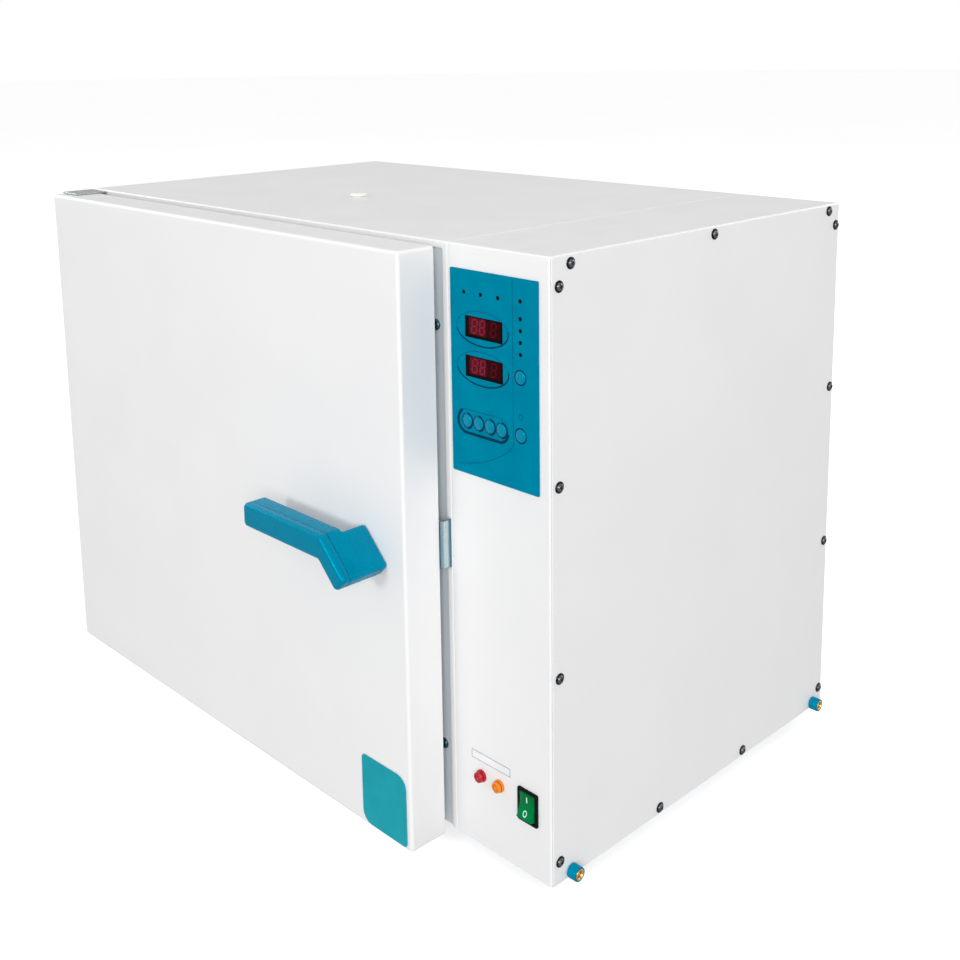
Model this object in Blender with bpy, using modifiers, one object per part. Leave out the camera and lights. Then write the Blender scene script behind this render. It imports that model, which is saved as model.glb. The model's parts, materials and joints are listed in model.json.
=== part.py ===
"""A bench-top dry heat sterilizer: a hot-air cabinet with a side-hinged door and a control column.

Sizes are in metres. The working frame has x = 0 on the cabinet's right side, running left as
minus x, y = 0 on the cabinet's front plane, running back as plus y, and z = 0 under its base.
The root empty moves that frame so that its origin is under the middle of the whole product.
"""

import math

import bmesh
import bpy
from mathutils import Matrix, Vector

# Sheet metal and fits
SHEET = 0.0012
INNER_BEND = 0.0004
SEAT_GAP = 0.0003
RUNNING_GAP = 0.0005
OVERRUN = 0.005
MERGE = 0.00001

# Cabinet
CABINET_WIDTH = 0.674
CABINET_DEPTH = 0.395
CABINET_HEIGHT = 0.500
FRONT_FLANGE = 0.006
HINGE_FLANGE = 0.036
PANEL_FLANGE = 0.018
TURNED_EDGE = 0.014

# Control column
COLUMN_WIDTH = 0.108
COLUMN_SEAM = 0.0006
SIDE_PANEL_MARGIN = 0.001

# Chamber
CHAMBER_FROM_LEFT = 0.070
CHAMBER_FROM_BASE = 0.075
CHAMBER_FROM_TOP = 0.075
CHAMBER_FROM_REAR = 0.090
CHAMBER_CORNER = 0.008
LINER_WALL = 0.001
LINER_FLANGE = 0.012
INSULATION_AIR_GAP = 0.014

# Vent through the roof
VENT_FROM_RIGHT = 0.391
VENT_FROM_FRONT = 0.141
VENT_TUBE_RADIUS = 0.008
VENT_TUBE_WALL = 0.0012
VENT_CAP_RADIUS = 0.0085
VENT_CAP_HEIGHT = 0.003
VENT_STEM_LENGTH = 0.020

# Air duct, heater and fan at the back of the chamber
DUCT_MARGIN_SIDE = 0.014
DUCT_MARGIN_END = 0.015
DUCT_DEPTH = 0.037
DUCT_WALL = 0.001
INTAKE_RADIUS = 0.042
INTAKE_SLOT = 0.005
INTAKE_SLOT_COUNT = 7
OUTLET_SLOT_COUNT = 7
OUTLET_SLOT_LENGTH = 0.022
OUTLET_SLOT_HEIGHT = 0.010
HEATER_RING_RADIUS = 0.078
HEATER_TUBE_RADIUS = 0.004
HEATER_LEG_HALF_ANGLE = math.radians(11)
HEATER_TAIL = 0.010
HEATER_RING_STEPS = 28
FAN_SHAFT_RADIUS = 0.004
FAN_HUB_RADIUS = 0.010
FAN_RADIUS = 0.055
FAN_DISC = 0.0015
FAN_DEPTH = 0.022
FAN_WALL_GAP = 0.007
FAN_BLADE_COUNT = 8
FAN_BLADE = 0.0014
MOTOR_RADIUS = 0.035
MOTOR_CAP_RADIUS = 0.014
MOTOR_FLANGE_RADIUS = 0.045
MOTOR_FLANGE = 0.003
MOTOR_LENGTH = 0.033
MOTOR_BORE_DEPTH = 0.026
MOTOR_REAR_GAP = 0.009

# Shelves on runners
RUNNER_FROM_FRONT = 0.022
RUNNER_END_GAP = 0.006
RUNNER_FROM_FLOOR = 0.025
RUNNER_LEDGE_COUNT = 5
RUNNER_FIRST_LEDGE = 0.015
RUNNER_LAST_LEDGE = 0.035
RUNNER_TOP_MARGIN = 0.035
LEDGE_WIDTH = 0.014
FREE_LEDGE_COUNT = {"lower_shelf": 1, "upper_shelf": 3}
SHELF_SHEET = 0.0015
SHELF_SIDE_GAP = 0.0012
SHELF_FRONT_GAP = 0.003
SHELF_REAR_GAP = 0.004
SHELF_LIP = 0.008
SHELF_SLOT_COUNT = 12
SHELF_SLOT_ROWS = 2
SHELF_SLOT_WIDTH = 0.012
SHELF_SLOT_MARGIN = 0.024
SHELF_SLOT_BRIDGE = 0.020

# Temperature probe through the right wall of the chamber
PROBE_RADIUS = 0.003
PROBE_HEAD_RADIUS = 0.006
PROBE_HEAD = 0.007
PROBE_REACH = 0.045
PROBE_FROM_BACK = 0.100
PROBE_FROM_CEILING = 0.013

# Door
DOOR_COLUMN_GAP = 0.005
DOOR_TOP_DROP = 0.0026
DOOR_DROP = 0.0025
DOOR_THICKNESS = 0.0367
DOOR_GAP = 0.010
DOOR_BEND = 0.003
DOOR_INNER_STEP = 0.0002
PLUG_MARGIN = 0.014
PLUG_REACH = 0.002
GASKET_MARGIN = 0.010
GASKET_WIDTH = 0.012
GASKET_CORNER = 0.020
GASKET_CAM_GAP = 0.012
DOOR_FILL_MARGIN = 0.034
DOOR_FILL_LATCH_SPACE = 0.060
DOOR_FILL_END_MARGIN = 0.008

# Hinge pins, brackets and bushes
PIN_FROM_EDGE = 0.012
PIN_RADIUS = 0.004
PIN_REACH = 0.016
HINGE_SHEET = 0.0016
HINGE_EAR_GAP = 0.0004
HINGE_LEAF_MARGIN = 0.0044
HINGE_EAR_LEAD = 0.008
HINGE_LEAF_HEIGHT = 0.056
BUSH_RADIUS = 0.008
BUSH_LENGTH = 0.014

# Latch: keeper on the cabinet, spindle and cam in the door
LATCH_HEIGHT = 0.2498
LATCH_FROM_DOOR_EDGE = 0.039
KEEPER_SHEET = 0.0016
KEEPER_HEIGHT = 0.0395
KEEPER_RAISE = 0.0045
KEEPER_LIP = 0.0185
KEEPER_DOOR_GAP = 0.0008
KEEPER_TAIL = 0.020
KEEPER_SLOT_GAP = 0.0015
CAM_SHEET = 0.0025
CAM_KEEPER_GAP = 0.0009
CAM_TIP_GAP = 0.0054
CAM_BACK = 0.011
CAM_HALF_WIDTH = 0.008
CAM_CORNER = 0.005
SPINDLE_RADIUS = 0.005
SPINDLE_COLLAR_RADIUS = 0.0085
SPINDLE_IN_HANDLE = 0.014
SPINDLE_TAIL = 0.001
SPINDLE_BUSH_RADIUS = 0.010

# Handle: a horizontal arm, then a leg at a slant that reaches back to the door
ARM_REACH = 0.1165
ARM_TOP = 0.0223
ARM_BOTTOM = 0.0015
LEG_WIDTH = 0.0170
LEG_SLANT = math.radians(45)
LEG_END = 0.0188
LEG_START = 0.0210
HANDLE_STAND_OFF = 0.0454
HANDLE_COVER = 0.0080
HANDLE_FINGER_GAP = 0.0263
HANDLE_CORNER = 0.0045
HANDLE_EDGE = 0.0035
HANDLE_EDGE_STEPS = 3

# Bare plate on the door front
PLATE_WIDTH = 0.0561
PLATE_HEIGHT = 0.0622
PLATE_FROM_DOOR_EDGE = 0.0052
PLATE_FROM_DOOR_FOOT = 0.0030
PLATE_SHEET = 0.0008
PLATE_SMALL_CORNER = 0.0035
PLATE_LARGE_CORNER = 0.0110

# Membrane panel on the control column
MEMBRANE_FROM_SEAM = 0.0038
MEMBRANE_HEIGHT = 0.1625
MEMBRANE_SHEET = 0.0010
MEMBRANE_FROM_RIGHT = 0.0115
MEMBRANE_FROM_TOP = 0.0190
MEMBRANE_CORNER = 0.0012
DISPLAY_WIDTH_SHARE = 0.4337
DISPLAY_PLACE_SHARE = 0.3894
DISPLAY_HEIGHT = 0.0164
DISPLAY_DROP = 0.0439
DISPLAY_PITCH = 0.0311
DISPLAY_RECESS = 0.0005
BUTTON_SPACING = 0.00103
BUTTON_PROUD = 0.0012
BUTTON_TRAVEL = 0.0010
BUTTON_STEM_RADIUS = 0.0035
BUTTON_COUNT = 4
BUTTON_PITCH_SHARE = 0.1341
BUTTON_ROW_START_SHARE = 0.1834
BUTTON_ROW_DROP = 0.1193
SINGLE_BUTTON_PLACE_SHARE = 0.8037
SINGLE_BUTTON_DROP = 0.0746
BOARD_DEPTH = 0.0130
BOARD_SHEET = 0.0016
BOARD_MARGIN = 0.003
BOARD_POST_RADIUS = 0.0025
BOARD_POST_INSET = 0.004

# Lamps and rocker switch
LAMP_RADIUS = 0.0055
LAMP_PROUD = 0.0052
LAMP_COLLAR = 0.0018
LAMP_LENS_RADIUS = 0.0046
LAMP_SHOULDER = 0.0041
LAMP_NOSE_RADIUS = 0.0033
LAMP_STEM_RADIUS = 0.0040
LAMP_STEM_LENGTH = 0.014
LAMP_HEIGHT = 0.0630
RED_LAMP_FROM_RIGHT = 0.0777
LAMP_PITCH = 0.0204
ROCKER_FROM_RIGHT = 0.0256
ROCKER_HEIGHT = 0.0592
BEZEL_WIDTH = 0.0214
BEZEL_HEIGHT = 0.0283
BEZEL_PROUD = 0.0018
BEZEL_RIM = 0.0020
BEZEL_CORNER = 0.0015
BEZEL_BODY_INSET = 0.0012
BEZEL_BODY_DEPTH = 0.0200
BEZEL_WALL = 0.0015
ROCKER_SIDE_GAP = 0.0004
ROCKER_END_GAP = 0.0017
ROCKER_TILT = math.radians(11)
ROCKER_CREST = 0.0031
ROCKER_VALLEY = 0.0009
ROCKER_PIVOT_DEPTH = 0.0023
ROCKER_BACK = 0.0060
ROCKER_HEEL = 0.0020

# Power module on the column's inner wall
POWER_FROM_FRONT = 0.140
POWER_FROM_BASE = 0.120
POWER_DEPTH = 0.080
POWER_HEIGHT = 0.085
POWER_THICKNESS = 0.045
POWER_PLATE = 0.018
POWER_FIN_COUNT = 7
POWER_FIN = 0.002

# Cable gland and vents in the rear panel
GLAND_FROM_RIGHT = 0.054
GLAND_FROM_BASE = 0.060
GLAND_RADIUS = 0.0115
GLAND_NOSE_RADIUS = 0.0086
GLAND_NUT = 0.0090
GLAND_THREAD_RADIUS = 0.0080
GLAND_BORE_RADIUS = 0.0042
GLAND_REACH = 0.0150
GLAND_TAIL = 0.0120
LOUVRE_COUNT = 9
LOUVRE_WIDTH = 0.090
LOUVRE_HEIGHT = 0.004
LOUVRE_PITCH = 0.012
COLUMN_LOUVRE_WIDTH = 0.060
COLUMN_LOUVRE_FROM_RIGHT = 0.024
COLUMN_LOUVRE_FROM_TOP = 0.150

# Feet and side posts
FOOT_HEIGHT = 0.014
FOOT_RADIUS = 0.014
FOOT_TOE_RADIUS = 0.012
FOOT_INSET = 0.040
POST_RADIUS = 0.0060
POST_LENGTH = 0.0088
POST_CHAMFER = 0.001
POST_HEIGHT = 0.006
POST_FROM_FRONT = 0.0215
POST_FROM_BACK = 0.018
INSERT_RADIUS = 0.0046
INSERT_BORE_RADIUS = 0.0031
INSERT_LENGTH = 0.007
INSERT_PROUD = 0.0005

# Places that follow from the sizes above
BEND_RADIUS = SHEET + INNER_BEND
LEFT = -CABINET_WIDTH
COLUMN_LEFT = -COLUMN_WIDTH
PANEL_INNER = -SHEET
COLUMN_RIGHT = PANEL_INNER - SEAT_GAP
INSIDE_RIGHT = COLUMN_RIGHT - SHEET - SEAT_GAP
INSIDE_LEFT = LEFT + SHEET + SEAT_GAP
FRAME_FRONT = SHEET + SEAT_GAP
FRAME_BACK = FRAME_FRONT + SHEET
INSIDE_FRONT = FRAME_BACK + SEAT_GAP
CEILING = CABINET_HEIGHT - SHEET - 2 * SEAT_GAP
FLOOR_TOP = SHEET + SEAT_GAP
REAR_INNER = CABINET_DEPTH - SHEET
REAR_EDGE_START = CABINET_DEPTH - TURNED_EDGE
DIVIDER_INNER = COLUMN_LEFT - SHEET

DOOR_RIGHT = COLUMN_LEFT - DOOR_COLUMN_GAP
DOOR_BACK = -DOOR_GAP
DOOR_FRONT = DOOR_BACK - DOOR_THICKNESS
DOOR_BOTTOM = -DOOR_DROP
DOOR_TOP = CABINET_HEIGHT - DOOR_TOP_DROP
LATCH_X = DOOR_RIGHT - LATCH_FROM_DOOR_EDGE

CHAMBER_LEFT = LEFT + CHAMBER_FROM_LEFT
GASKET_RIGHT = LATCH_X - CAM_HALF_WIDTH - GASKET_CAM_GAP
CHAMBER_RIGHT = GASKET_RIGHT - GASKET_WIDTH - GASKET_MARGIN
CHAMBER_TOP = CABINET_HEIGHT - CHAMBER_FROM_TOP
CHAMBER_BACK = CABINET_DEPTH - CHAMBER_FROM_REAR
CHAMBER_HEIGHT = CHAMBER_TOP - CHAMBER_FROM_BASE
CHAMBER_MIDDLE = (CHAMBER_LEFT + CHAMBER_RIGHT) / 2
CHAMBER_CENTRE_HEIGHT = CHAMBER_FROM_BASE + CHAMBER_HEIGHT / 2
INSULATION_SIDE = CHAMBER_FROM_LEFT - INSULATION_AIR_GAP
INSULATION_BACK = REAR_INNER - MOTOR_REAR_GAP - MOTOR_LENGTH - SEAT_GAP
INSULATION_REAR = INSULATION_BACK - CHAMBER_BACK - LINER_WALL - RUNNING_GAP
DUCT_FRONT = CHAMBER_BACK - DUCT_DEPTH
PIN_X = LEFT + PIN_FROM_EDGE
PIN_Y = (DOOR_FRONT + DOOR_BACK) / 2
PANEL_BACK = DOOR_BACK - DOOR_INNER_STEP
PANEL_FRONT = PANEL_BACK - SHEET

KEEPER_RIGHT = DIVIDER_INNER - SEAT_GAP
KEEPER_LEFT = KEEPER_RIGHT - KEEPER_LIP
KEEPER_FRONT = DOOR_BACK + KEEPER_DOOR_GAP
KEEPER_BOTTOM = LATCH_HEIGHT + KEEPER_RAISE - KEEPER_HEIGHT / 2
KEEPER_TOP = KEEPER_BOTTOM + KEEPER_HEIGHT
CAM_FRONT = KEEPER_FRONT + KEEPER_SHEET + CAM_KEEPER_GAP
CAM_REAR = CAM_FRONT + CAM_SHEET
CAM_REACH = KEEPER_RIGHT - KEEPER_SHEET - CAM_TIP_GAP - LATCH_X

HANDLE_FRONT = DOOR_FRONT - HANDLE_STAND_OFF
HANDLE_SEAM = HANDLE_FRONT + HANDLE_COVER
HANDLE_SHELL_FRONT = HANDLE_SEAM + SEAT_GAP
HANDLE_ARM_BACK = DOOR_FRONT - HANDLE_FINGER_GAP
HANDLE_FOOT = DOOR_FRONT - SEAT_GAP
SPINDLE_FRONT = HANDLE_FOOT - SPINDLE_IN_HANDLE

MEMBRANE_RIGHT = -MEMBRANE_FROM_RIGHT
MEMBRANE_LEFT = COLUMN_LEFT + MEMBRANE_FROM_SEAM
MEMBRANE_WIDTH = MEMBRANE_RIGHT - MEMBRANE_LEFT
MEMBRANE_TOP = CABINET_HEIGHT - MEMBRANE_FROM_TOP
MEMBRANE_BOTTOM = MEMBRANE_TOP - MEMBRANE_HEIGHT
MEMBRANE_BACK = -SEAT_GAP
MEMBRANE_FRONT = MEMBRANE_BACK - MEMBRANE_SHEET
DISPLAY_X = MEMBRANE_LEFT + DISPLAY_PLACE_SHARE * MEMBRANE_WIDTH
DISPLAY_WIDTH = DISPLAY_WIDTH_SHARE * MEMBRANE_WIDTH
BUTTON_PITCH = BUTTON_PITCH_SHARE * MEMBRANE_WIDTH
BUTTON_RADIUS = (BUTTON_PITCH - BUTTON_SPACING) / 2
DISPLAY_HEIGHTS = {
    "upper_display": MEMBRANE_TOP - DISPLAY_DROP,
    "lower_display": MEMBRANE_TOP - DISPLAY_DROP - DISPLAY_PITCH,
}
ROCKER_X = -ROCKER_FROM_RIGHT
LAMP_PLACES = {
    "red_lamp": (-RED_LAMP_FROM_RIGHT, 0, LAMP_HEIGHT),
    "amber_lamp": (-RED_LAMP_FROM_RIGHT + LAMP_PITCH, 0, LAMP_HEIGHT),
}

# Mesh fineness
ROUND_STEPS = 24
SMALL_ROUND_STEPS = 16
CORNER_STEPS = 4
TUBE_STEPS = 2
SMOOTH_ANGLE = math.radians(35)

AXIS_TURN = {
    "+X": Matrix.Rotation(math.radians(90), 4, "Y"),
    "+Y": Matrix.Rotation(math.radians(-90), 4, "X"),
    "-Y": Matrix.Rotation(math.radians(90), 4, "X"),
    "+Z": Matrix.Identity(4),
    "-Z": Matrix.Rotation(math.radians(180), 4, "X"),
}
SIDES = {
    "left": Vector((-1, 0, 0)),
    "right": Vector((1, 0, 0)),
    "front": Vector((0, -1, 0)),
    "rear": Vector((0, 1, 0)),
    "bottom": Vector((0, 0, -1)),
    "top": Vector((0, 0, 1)),
}
CARRIER_PLACES = {}


def button_places():
    """The name and centre of each button: four in a row, then two single ones on the right."""
    row_height = MEMBRANE_TOP - BUTTON_ROW_DROP
    first = MEMBRANE_LEFT + BUTTON_ROW_START_SHARE * MEMBRANE_WIDTH
    places = {}
    for number in range(BUTTON_COUNT):
        places[f"button_{number + 1}"] = (first + number * BUTTON_PITCH, 0, row_height)
    single_x = MEMBRANE_LEFT + SINGLE_BUTTON_PLACE_SHARE * MEMBRANE_WIDTH
    places["select_button"] = (single_x, 0, MEMBRANE_TOP - SINGLE_BUTTON_DROP)
    places["start_button"] = (single_x, 0, row_height)
    return places


def clear_scene():
    for thing in list(bpy.data.objects):
        bpy.data.objects.remove(thing, do_unlink=True)


def new_collection(name):
    collection = bpy.data.collections.new(name)
    bpy.context.scene.collection.children.link(collection)
    return collection


def new_paint(name, colour, roughness, metallic=0.0):
    paint = bpy.data.materials.new(name)
    paint.use_nodes = True
    shader = paint.node_tree.nodes["Principled BSDF"]
    shader.inputs["Base Color"].default_value = (*colour, 1.0)
    shader.inputs["Roughness"].default_value = roughness
    shader.inputs["Metallic"].default_value = metallic
    return paint


def new_carrier(name, place, parent=None):
    """An empty on a joint's axis, or the root. Its place is in the working frame."""
    carrier = bpy.data.objects.new(name, None)
    PARTS.objects.link(carrier)
    CARRIER_PLACES[name] = Vector(place)
    if parent:
        carrier.parent = parent
        carrier.location = Vector(place) - CARRIER_PLACES[parent.name]
    return carrier


def add_piece(name, mesh, paint, carrier, turn=None, place=(0, 0, 0)):
    piece = bpy.data.objects.new(name, mesh)
    PARTS.objects.link(piece)
    mesh.materials.append(paint)
    mesh.shade_smooth()
    mesh.set_sharp_from_angle(angle=SMOOTH_ANGLE)
    put_on(piece, carrier, turn, place)
    return piece


def put_on(piece, carrier, turn=None, place=(0, 0, 0)):
    """Hangs a piece on its carrier. Its mesh is in the working frame unless a place is given."""
    piece.parent = carrier
    piece.matrix_local = Matrix.Translation(Vector(place) - CARRIER_PLACES[carrier.name]) @ (
        turn or Matrix.Identity(4)
    )


def add_helper(name, mesh, turn=None, place=(0, 0, 0)):
    """A shape that cuts or joins another one, left out of the product itself."""
    helper = bpy.data.objects.new(name, mesh)
    HELPERS.objects.link(helper)
    helper.hide_render = True
    helper.display_type = "WIRE"
    put_on(helper, ROOT, turn, place)
    return helper


def finished_mesh(name, build):
    mesh = bpy.data.meshes.new(name)
    build.to_mesh(mesh)
    build.free()
    return mesh


def add_box(build, low, high):
    """Adds a box between two corners to a mesh that is being built, and returns its points."""
    low = Vector(low)
    high = Vector(high)
    points = bmesh.ops.create_cube(build, size=1)["verts"]
    size = high - low
    middle = (low + high) / 2
    bmesh.ops.scale(build, vec=size, verts=points)
    bmesh.ops.translate(build, vec=middle, verts=points)
    return points


def boxes_mesh(name, boxes):
    build = bmesh.new()
    for low, high in boxes:
        add_box(build, low, high)
    return finished_mesh(name, build)


def edges_along(build, axis):
    found = []
    for edge in build.edges:
        run = edge.verts[1].co - edge.verts[0].co
        if abs(run[axis]) > MERGE and abs(run.length - abs(run[axis])) < MERGE:
            found.append(edge)
    return found


def rounded_box_mesh(name, low, high, axis, radius, steps=CORNER_STEPS):
    """A box whose four edges along one axis are rounded."""
    build = bmesh.new()
    add_box(build, low, high)
    bmesh.ops.bevel(
        build, geom=edges_along(build, axis), offset=radius, segments=steps, profile=0.5, affect="EDGES"
    )
    return finished_mesh(name, build)


def folded_sheet(name, low, high, open_sides, paint, carrier, wall=SHEET, inner_bend=INNER_BEND):
    """A box of bent sheet with some sides left open. The wall grows inwards from its outer faces."""
    bend = wall + inner_bend
    build = bmesh.new()
    add_box(build, low, high)
    gone = []
    for face in build.faces:
        for side in open_sides:
            if face.normal.dot(SIDES[side]) > 0.9:
                gone.append(face)
    bmesh.ops.delete(build, geom=gone, context="FACES")
    folds = [edge for edge in build.edges if len(edge.link_faces) == 2]
    bmesh.ops.bevel(build, geom=folds, offset=bend, segments=CORNER_STEPS, profile=0.5, affect="EDGES")
    piece = add_piece(name, finished_mesh(name, build), paint, carrier)
    solidify = piece.modifiers.new("wall", "SOLIDIFY")
    solidify.thickness = wall
    solidify.offset = -1
    solidify.use_even_offset = True
    return piece


def cut(piece, helper):
    modifier = piece.modifiers.new("cut by " + helper.name, "BOOLEAN")
    modifier.operation = "DIFFERENCE"
    modifier.object = helper


def join(piece, helper):
    modifier = piece.modifiers.new("joined with " + helper.name, "BOOLEAN")
    modifier.operation = "UNION"
    modifier.object = helper


def cut_boxes(piece, name, boxes):
    cut(piece, add_helper(name, boxes_mesh(name, boxes)))


def rods_mesh(name, rods, steps=ROUND_STEPS):
    """Round rods along one axis. Each rod is its start, its length and its radius."""
    build = bmesh.new()
    for start, length, radius in rods:
        made = bmesh.ops.create_cone(
            build,
            cap_ends=True,
            cap_tris=False,
            segments=steps,
            radius1=radius,
            radius2=radius,
            depth=length,
        )
        middle = Vector(start) + Vector((0, 0, length / 2))
        bmesh.ops.translate(build, vec=middle, verts=made["verts"])
    return finished_mesh(name, build)


def drill(piece, name, start, length, radius, axis, steps=ROUND_STEPS):
    """Cuts a round hole that begins at a point and runs along an axis."""
    mesh = rods_mesh(name, [((0, 0, 0), length, radius)], steps)
    cut(piece, add_helper(name, mesh, AXIS_TURN[axis], start))


def turned(name, profile, place, axis, paint, carrier, steps=ROUND_STEPS, closed=False):
    """A turned piece. The profile is (radius, height) pairs down its outer side, top to bottom.

    A closed profile goes on up its bore.
    """
    build = bmesh.new()
    points = [build.verts.new((radius, 0, height)) for radius, height in profile]
    for first, second in zip(points, points[1:]):
        build.edges.new((first, second))
    if closed:
        build.edges.new((points[-1], points[0]))
    piece = add_piece(name, finished_mesh(name, build), paint, carrier, AXIS_TURN[axis], place)
    screw = piece.modifiers.new("turning", "SCREW")
    screw.axis = "Z"
    screw.steps = steps
    screw.render_steps = steps
    screw.use_merge_vertices = True
    screw.merge_threshold = MERGE
    return piece


def rounded_outline(corners, steps=CORNER_STEPS):
    """The points of a closed outline. Each corner is its place and its fillet radius."""
    outline = []
    for index, (corner, radius) in enumerate(corners):
        corner = Vector(corner)
        back = (Vector(corners[index - 1][0]) - corner).normalized()
        ahead = (Vector(corners[(index + 1) % len(corners)][0]) - corner).normalized()
        half_angle = back.angle(ahead) / 2
        run = radius / math.tan(half_angle)
        centre = corner + (back + ahead).normalized() * radius / math.sin(half_angle)
        start = corner + back * run - centre
        end = corner + ahead * run - centre
        sweep = start.angle_signed(end)
        for step in range(steps + 1):
            turn = Matrix.Rotation(-sweep * step / steps, 2)
            outline.append(centre + turn @ start)
    return outline


def outline_mesh(name, outline, low, high, axis="Y"):
    """A flat outline given some thickness from low to high along an axis.

    Along Y the outline's points are (x, z), and along X they are (y, z).
    """
    curve = bpy.data.curves.new(name, "CURVE")
    curve.dimensions = "2D"
    curve.fill_mode = "BOTH"
    curve.extrude = (high - low) / 2
    spline = curve.splines.new("POLY")
    spline.points.add(len(outline) - 1)
    for point, (across, up) in zip(spline.points, outline):
        point.co = (across, up, 0, 1)
    spline.use_cyclic_u = True
    guide = bpy.data.objects.new(name + " guide", curve)
    HELPERS.objects.link(guide)
    graph = bpy.context.evaluated_depsgraph_get()
    mesh = bpy.data.meshes.new_from_object(guide.evaluated_get(graph))
    mesh.name = name
    bpy.data.objects.remove(guide)
    if axis == "Y":
        upright = Matrix.Rotation(math.radians(90), 4, "X")
        mesh.transform(Matrix.Translation((0, (low + high) / 2, 0)) @ upright)
    else:
        cycle = Matrix(((0, 0, 1, 0), (1, 0, 0, 0), (0, 1, 0, 0), (0, 0, 0, 1)))
        mesh.transform(Matrix.Translation(((low + high) / 2, 0, 0)) @ cycle)
    build = bmesh.new()
    build.from_mesh(mesh)
    bmesh.ops.remove_doubles(build, verts=build.verts, dist=MERGE)
    bmesh.ops.dissolve_limit(build, angle_limit=math.radians(1), verts=build.verts, edges=build.edges)
    build.to_mesh(mesh)
    build.free()
    mesh.materials.clear()
    return mesh


def soften_rim(mesh, axis, height, width, steps):
    """Rounds the edges that run round the face at one height along an axis."""
    build = bmesh.new()
    build.from_mesh(mesh)
    rim = []
    for edge in build.edges:
        flat = all(abs(point.co[axis] - height) < MERGE for point in edge.verts)
        if flat and edge.calc_face_angle(0) > math.radians(60):
            rim.append(edge)
    bmesh.ops.bevel(build, geom=rim, offset=width, segments=steps, profile=0.5, affect="EDGES")
    build.to_mesh(mesh)
    build.free()


def tube(name, points, radius, paint, carrier):
    """A round bar along a path, with flat ends."""
    curve = bpy.data.curves.new(name, "CURVE")
    curve.dimensions = "3D"
    curve.bevel_depth = radius
    curve.bevel_resolution = TUBE_STEPS
    curve.use_fill_caps = True
    spline = curve.splines.new("POLY")
    spline.points.add(len(points) - 1)
    for point, place in zip(spline.points, points):
        point.co = (*place, 1)
    piece = bpy.data.objects.new(name, curve)
    PARTS.objects.link(piece)
    curve.materials.append(paint)
    put_on(piece, carrier)
    return piece


def make_main_casing():
    """The wrap over the left side and the roof, with the front flange and the wall by the column."""
    casing = folded_sheet(
        "main_casing",
        (LEFT, 0, 0),
        (COLUMN_LEFT, CABINET_DEPTH, CABINET_HEIGHT),
        ("rear", "bottom"),
        WHITE_PAINT,
        ROOT,
    )
    mouth = (
        (LEFT + HINGE_FLANGE, -OVERRUN, -OVERRUN),
        (COLUMN_LEFT - FRONT_FLANGE, SHEET + OVERRUN, CABINET_HEIGHT - FRONT_FLANGE),
    )
    cut_boxes(casing, "casing_mouth", [mouth])
    beside = DIVIDER_INNER - BEND_RADIUS
    rear_notch = (
        (beside, REAR_EDGE_START - SEAT_GAP, -OVERRUN),
        (COLUMN_LEFT + OVERRUN, CABINET_DEPTH + OVERRUN, CEILING + SEAT_GAP),
    )
    cut_boxes(casing, "casing_rear_notch", [rear_notch])
    foot_notch = (
        (beside, FRAME_BACK, -OVERRUN),
        (COLUMN_LEFT + OVERRUN, CABINET_DEPTH + OVERRUN, FLOOR_TOP),
    )
    cut_boxes(casing, "casing_foot_notch", [foot_notch])
    slot = (
        (COLUMN_LEFT - FRONT_FLANGE - OVERRUN, -OVERRUN, KEEPER_BOTTOM - KEEPER_SLOT_GAP),
        (KEEPER_RIGHT + SEAT_GAP / 2, BEND_RADIUS, KEEPER_TOP + KEEPER_SLOT_GAP),
    )
    cut_boxes(casing, "keeper_slot", [slot])
    vent_start = (-VENT_FROM_RIGHT, VENT_FROM_FRONT, CABINET_HEIGHT - SHEET - OVERRUN)
    stem = VENT_TUBE_RADIUS - VENT_TUBE_WALL
    drill(casing, "casing_vent_hole", vent_start, SHEET + 2 * OVERRUN, stem, "+Z")


def make_column_casing():
    """The column's front and roof in one sheet, with turned edges that the side panel lies on."""
    low = (COLUMN_LEFT + COLUMN_SEAM, 0, 0)
    high = (COLUMN_RIGHT, CABINET_DEPTH, CABINET_HEIGHT)
    casing = folded_sheet("column_casing", low, high, ("rear", "bottom", "left"), WHITE_PAINT, ROOT)
    window = (
        (COLUMN_RIGHT - OVERRUN, PANEL_FLANGE, -OVERRUN),
        (OVERRUN, CABINET_DEPTH - PANEL_FLANGE, CABINET_HEIGHT - PANEL_FLANGE),
    )
    cut_boxes(casing, "column_window", [window])
    cut_boxes(casing, "column_display_windows", display_boxes(SEAT_GAP))
    holes = []
    for place in button_places().values():
        holes.append((place, BUTTON_STEM_RADIUS + RUNNING_GAP))
    for place in LAMP_PLACES.values():
        holes.append((place, LAMP_STEM_RADIUS + SEAT_GAP))
    cut(casing, round_holes("column_round_holes", holes))
    body = rocker_body_box(SEAT_GAP)
    cut_boxes(casing, "rocker_hole", [body])


def round_holes(name, holes):
    """A helper of round rods along Y, through the column's front and the membrane.

    The rods are laid out as (x, z, -y) and then turned upright.
    """
    length = SHEET + MEMBRANE_SHEET + 2 * OVERRUN
    rods = []
    for (across, _, height), radius in holes:
        rods.append(((across, height, -SHEET - OVERRUN), length, radius))
    return add_helper(name, rods_mesh(name, rods, SMALL_ROUND_STEPS), AXIS_TURN["-Y"])


def display_boxes(gap):
    boxes = []
    for height in DISPLAY_HEIGHTS.values():
        low = (
            DISPLAY_X - DISPLAY_WIDTH / 2 - gap,
            MEMBRANE_FRONT - OVERRUN,
            height - DISPLAY_HEIGHT / 2 - gap,
        )
        high = (
            DISPLAY_X + DISPLAY_WIDTH / 2 + gap,
            SHEET + OVERRUN,
            height + DISPLAY_HEIGHT / 2 + gap,
        )
        boxes.append((low, high))
    return boxes


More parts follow.
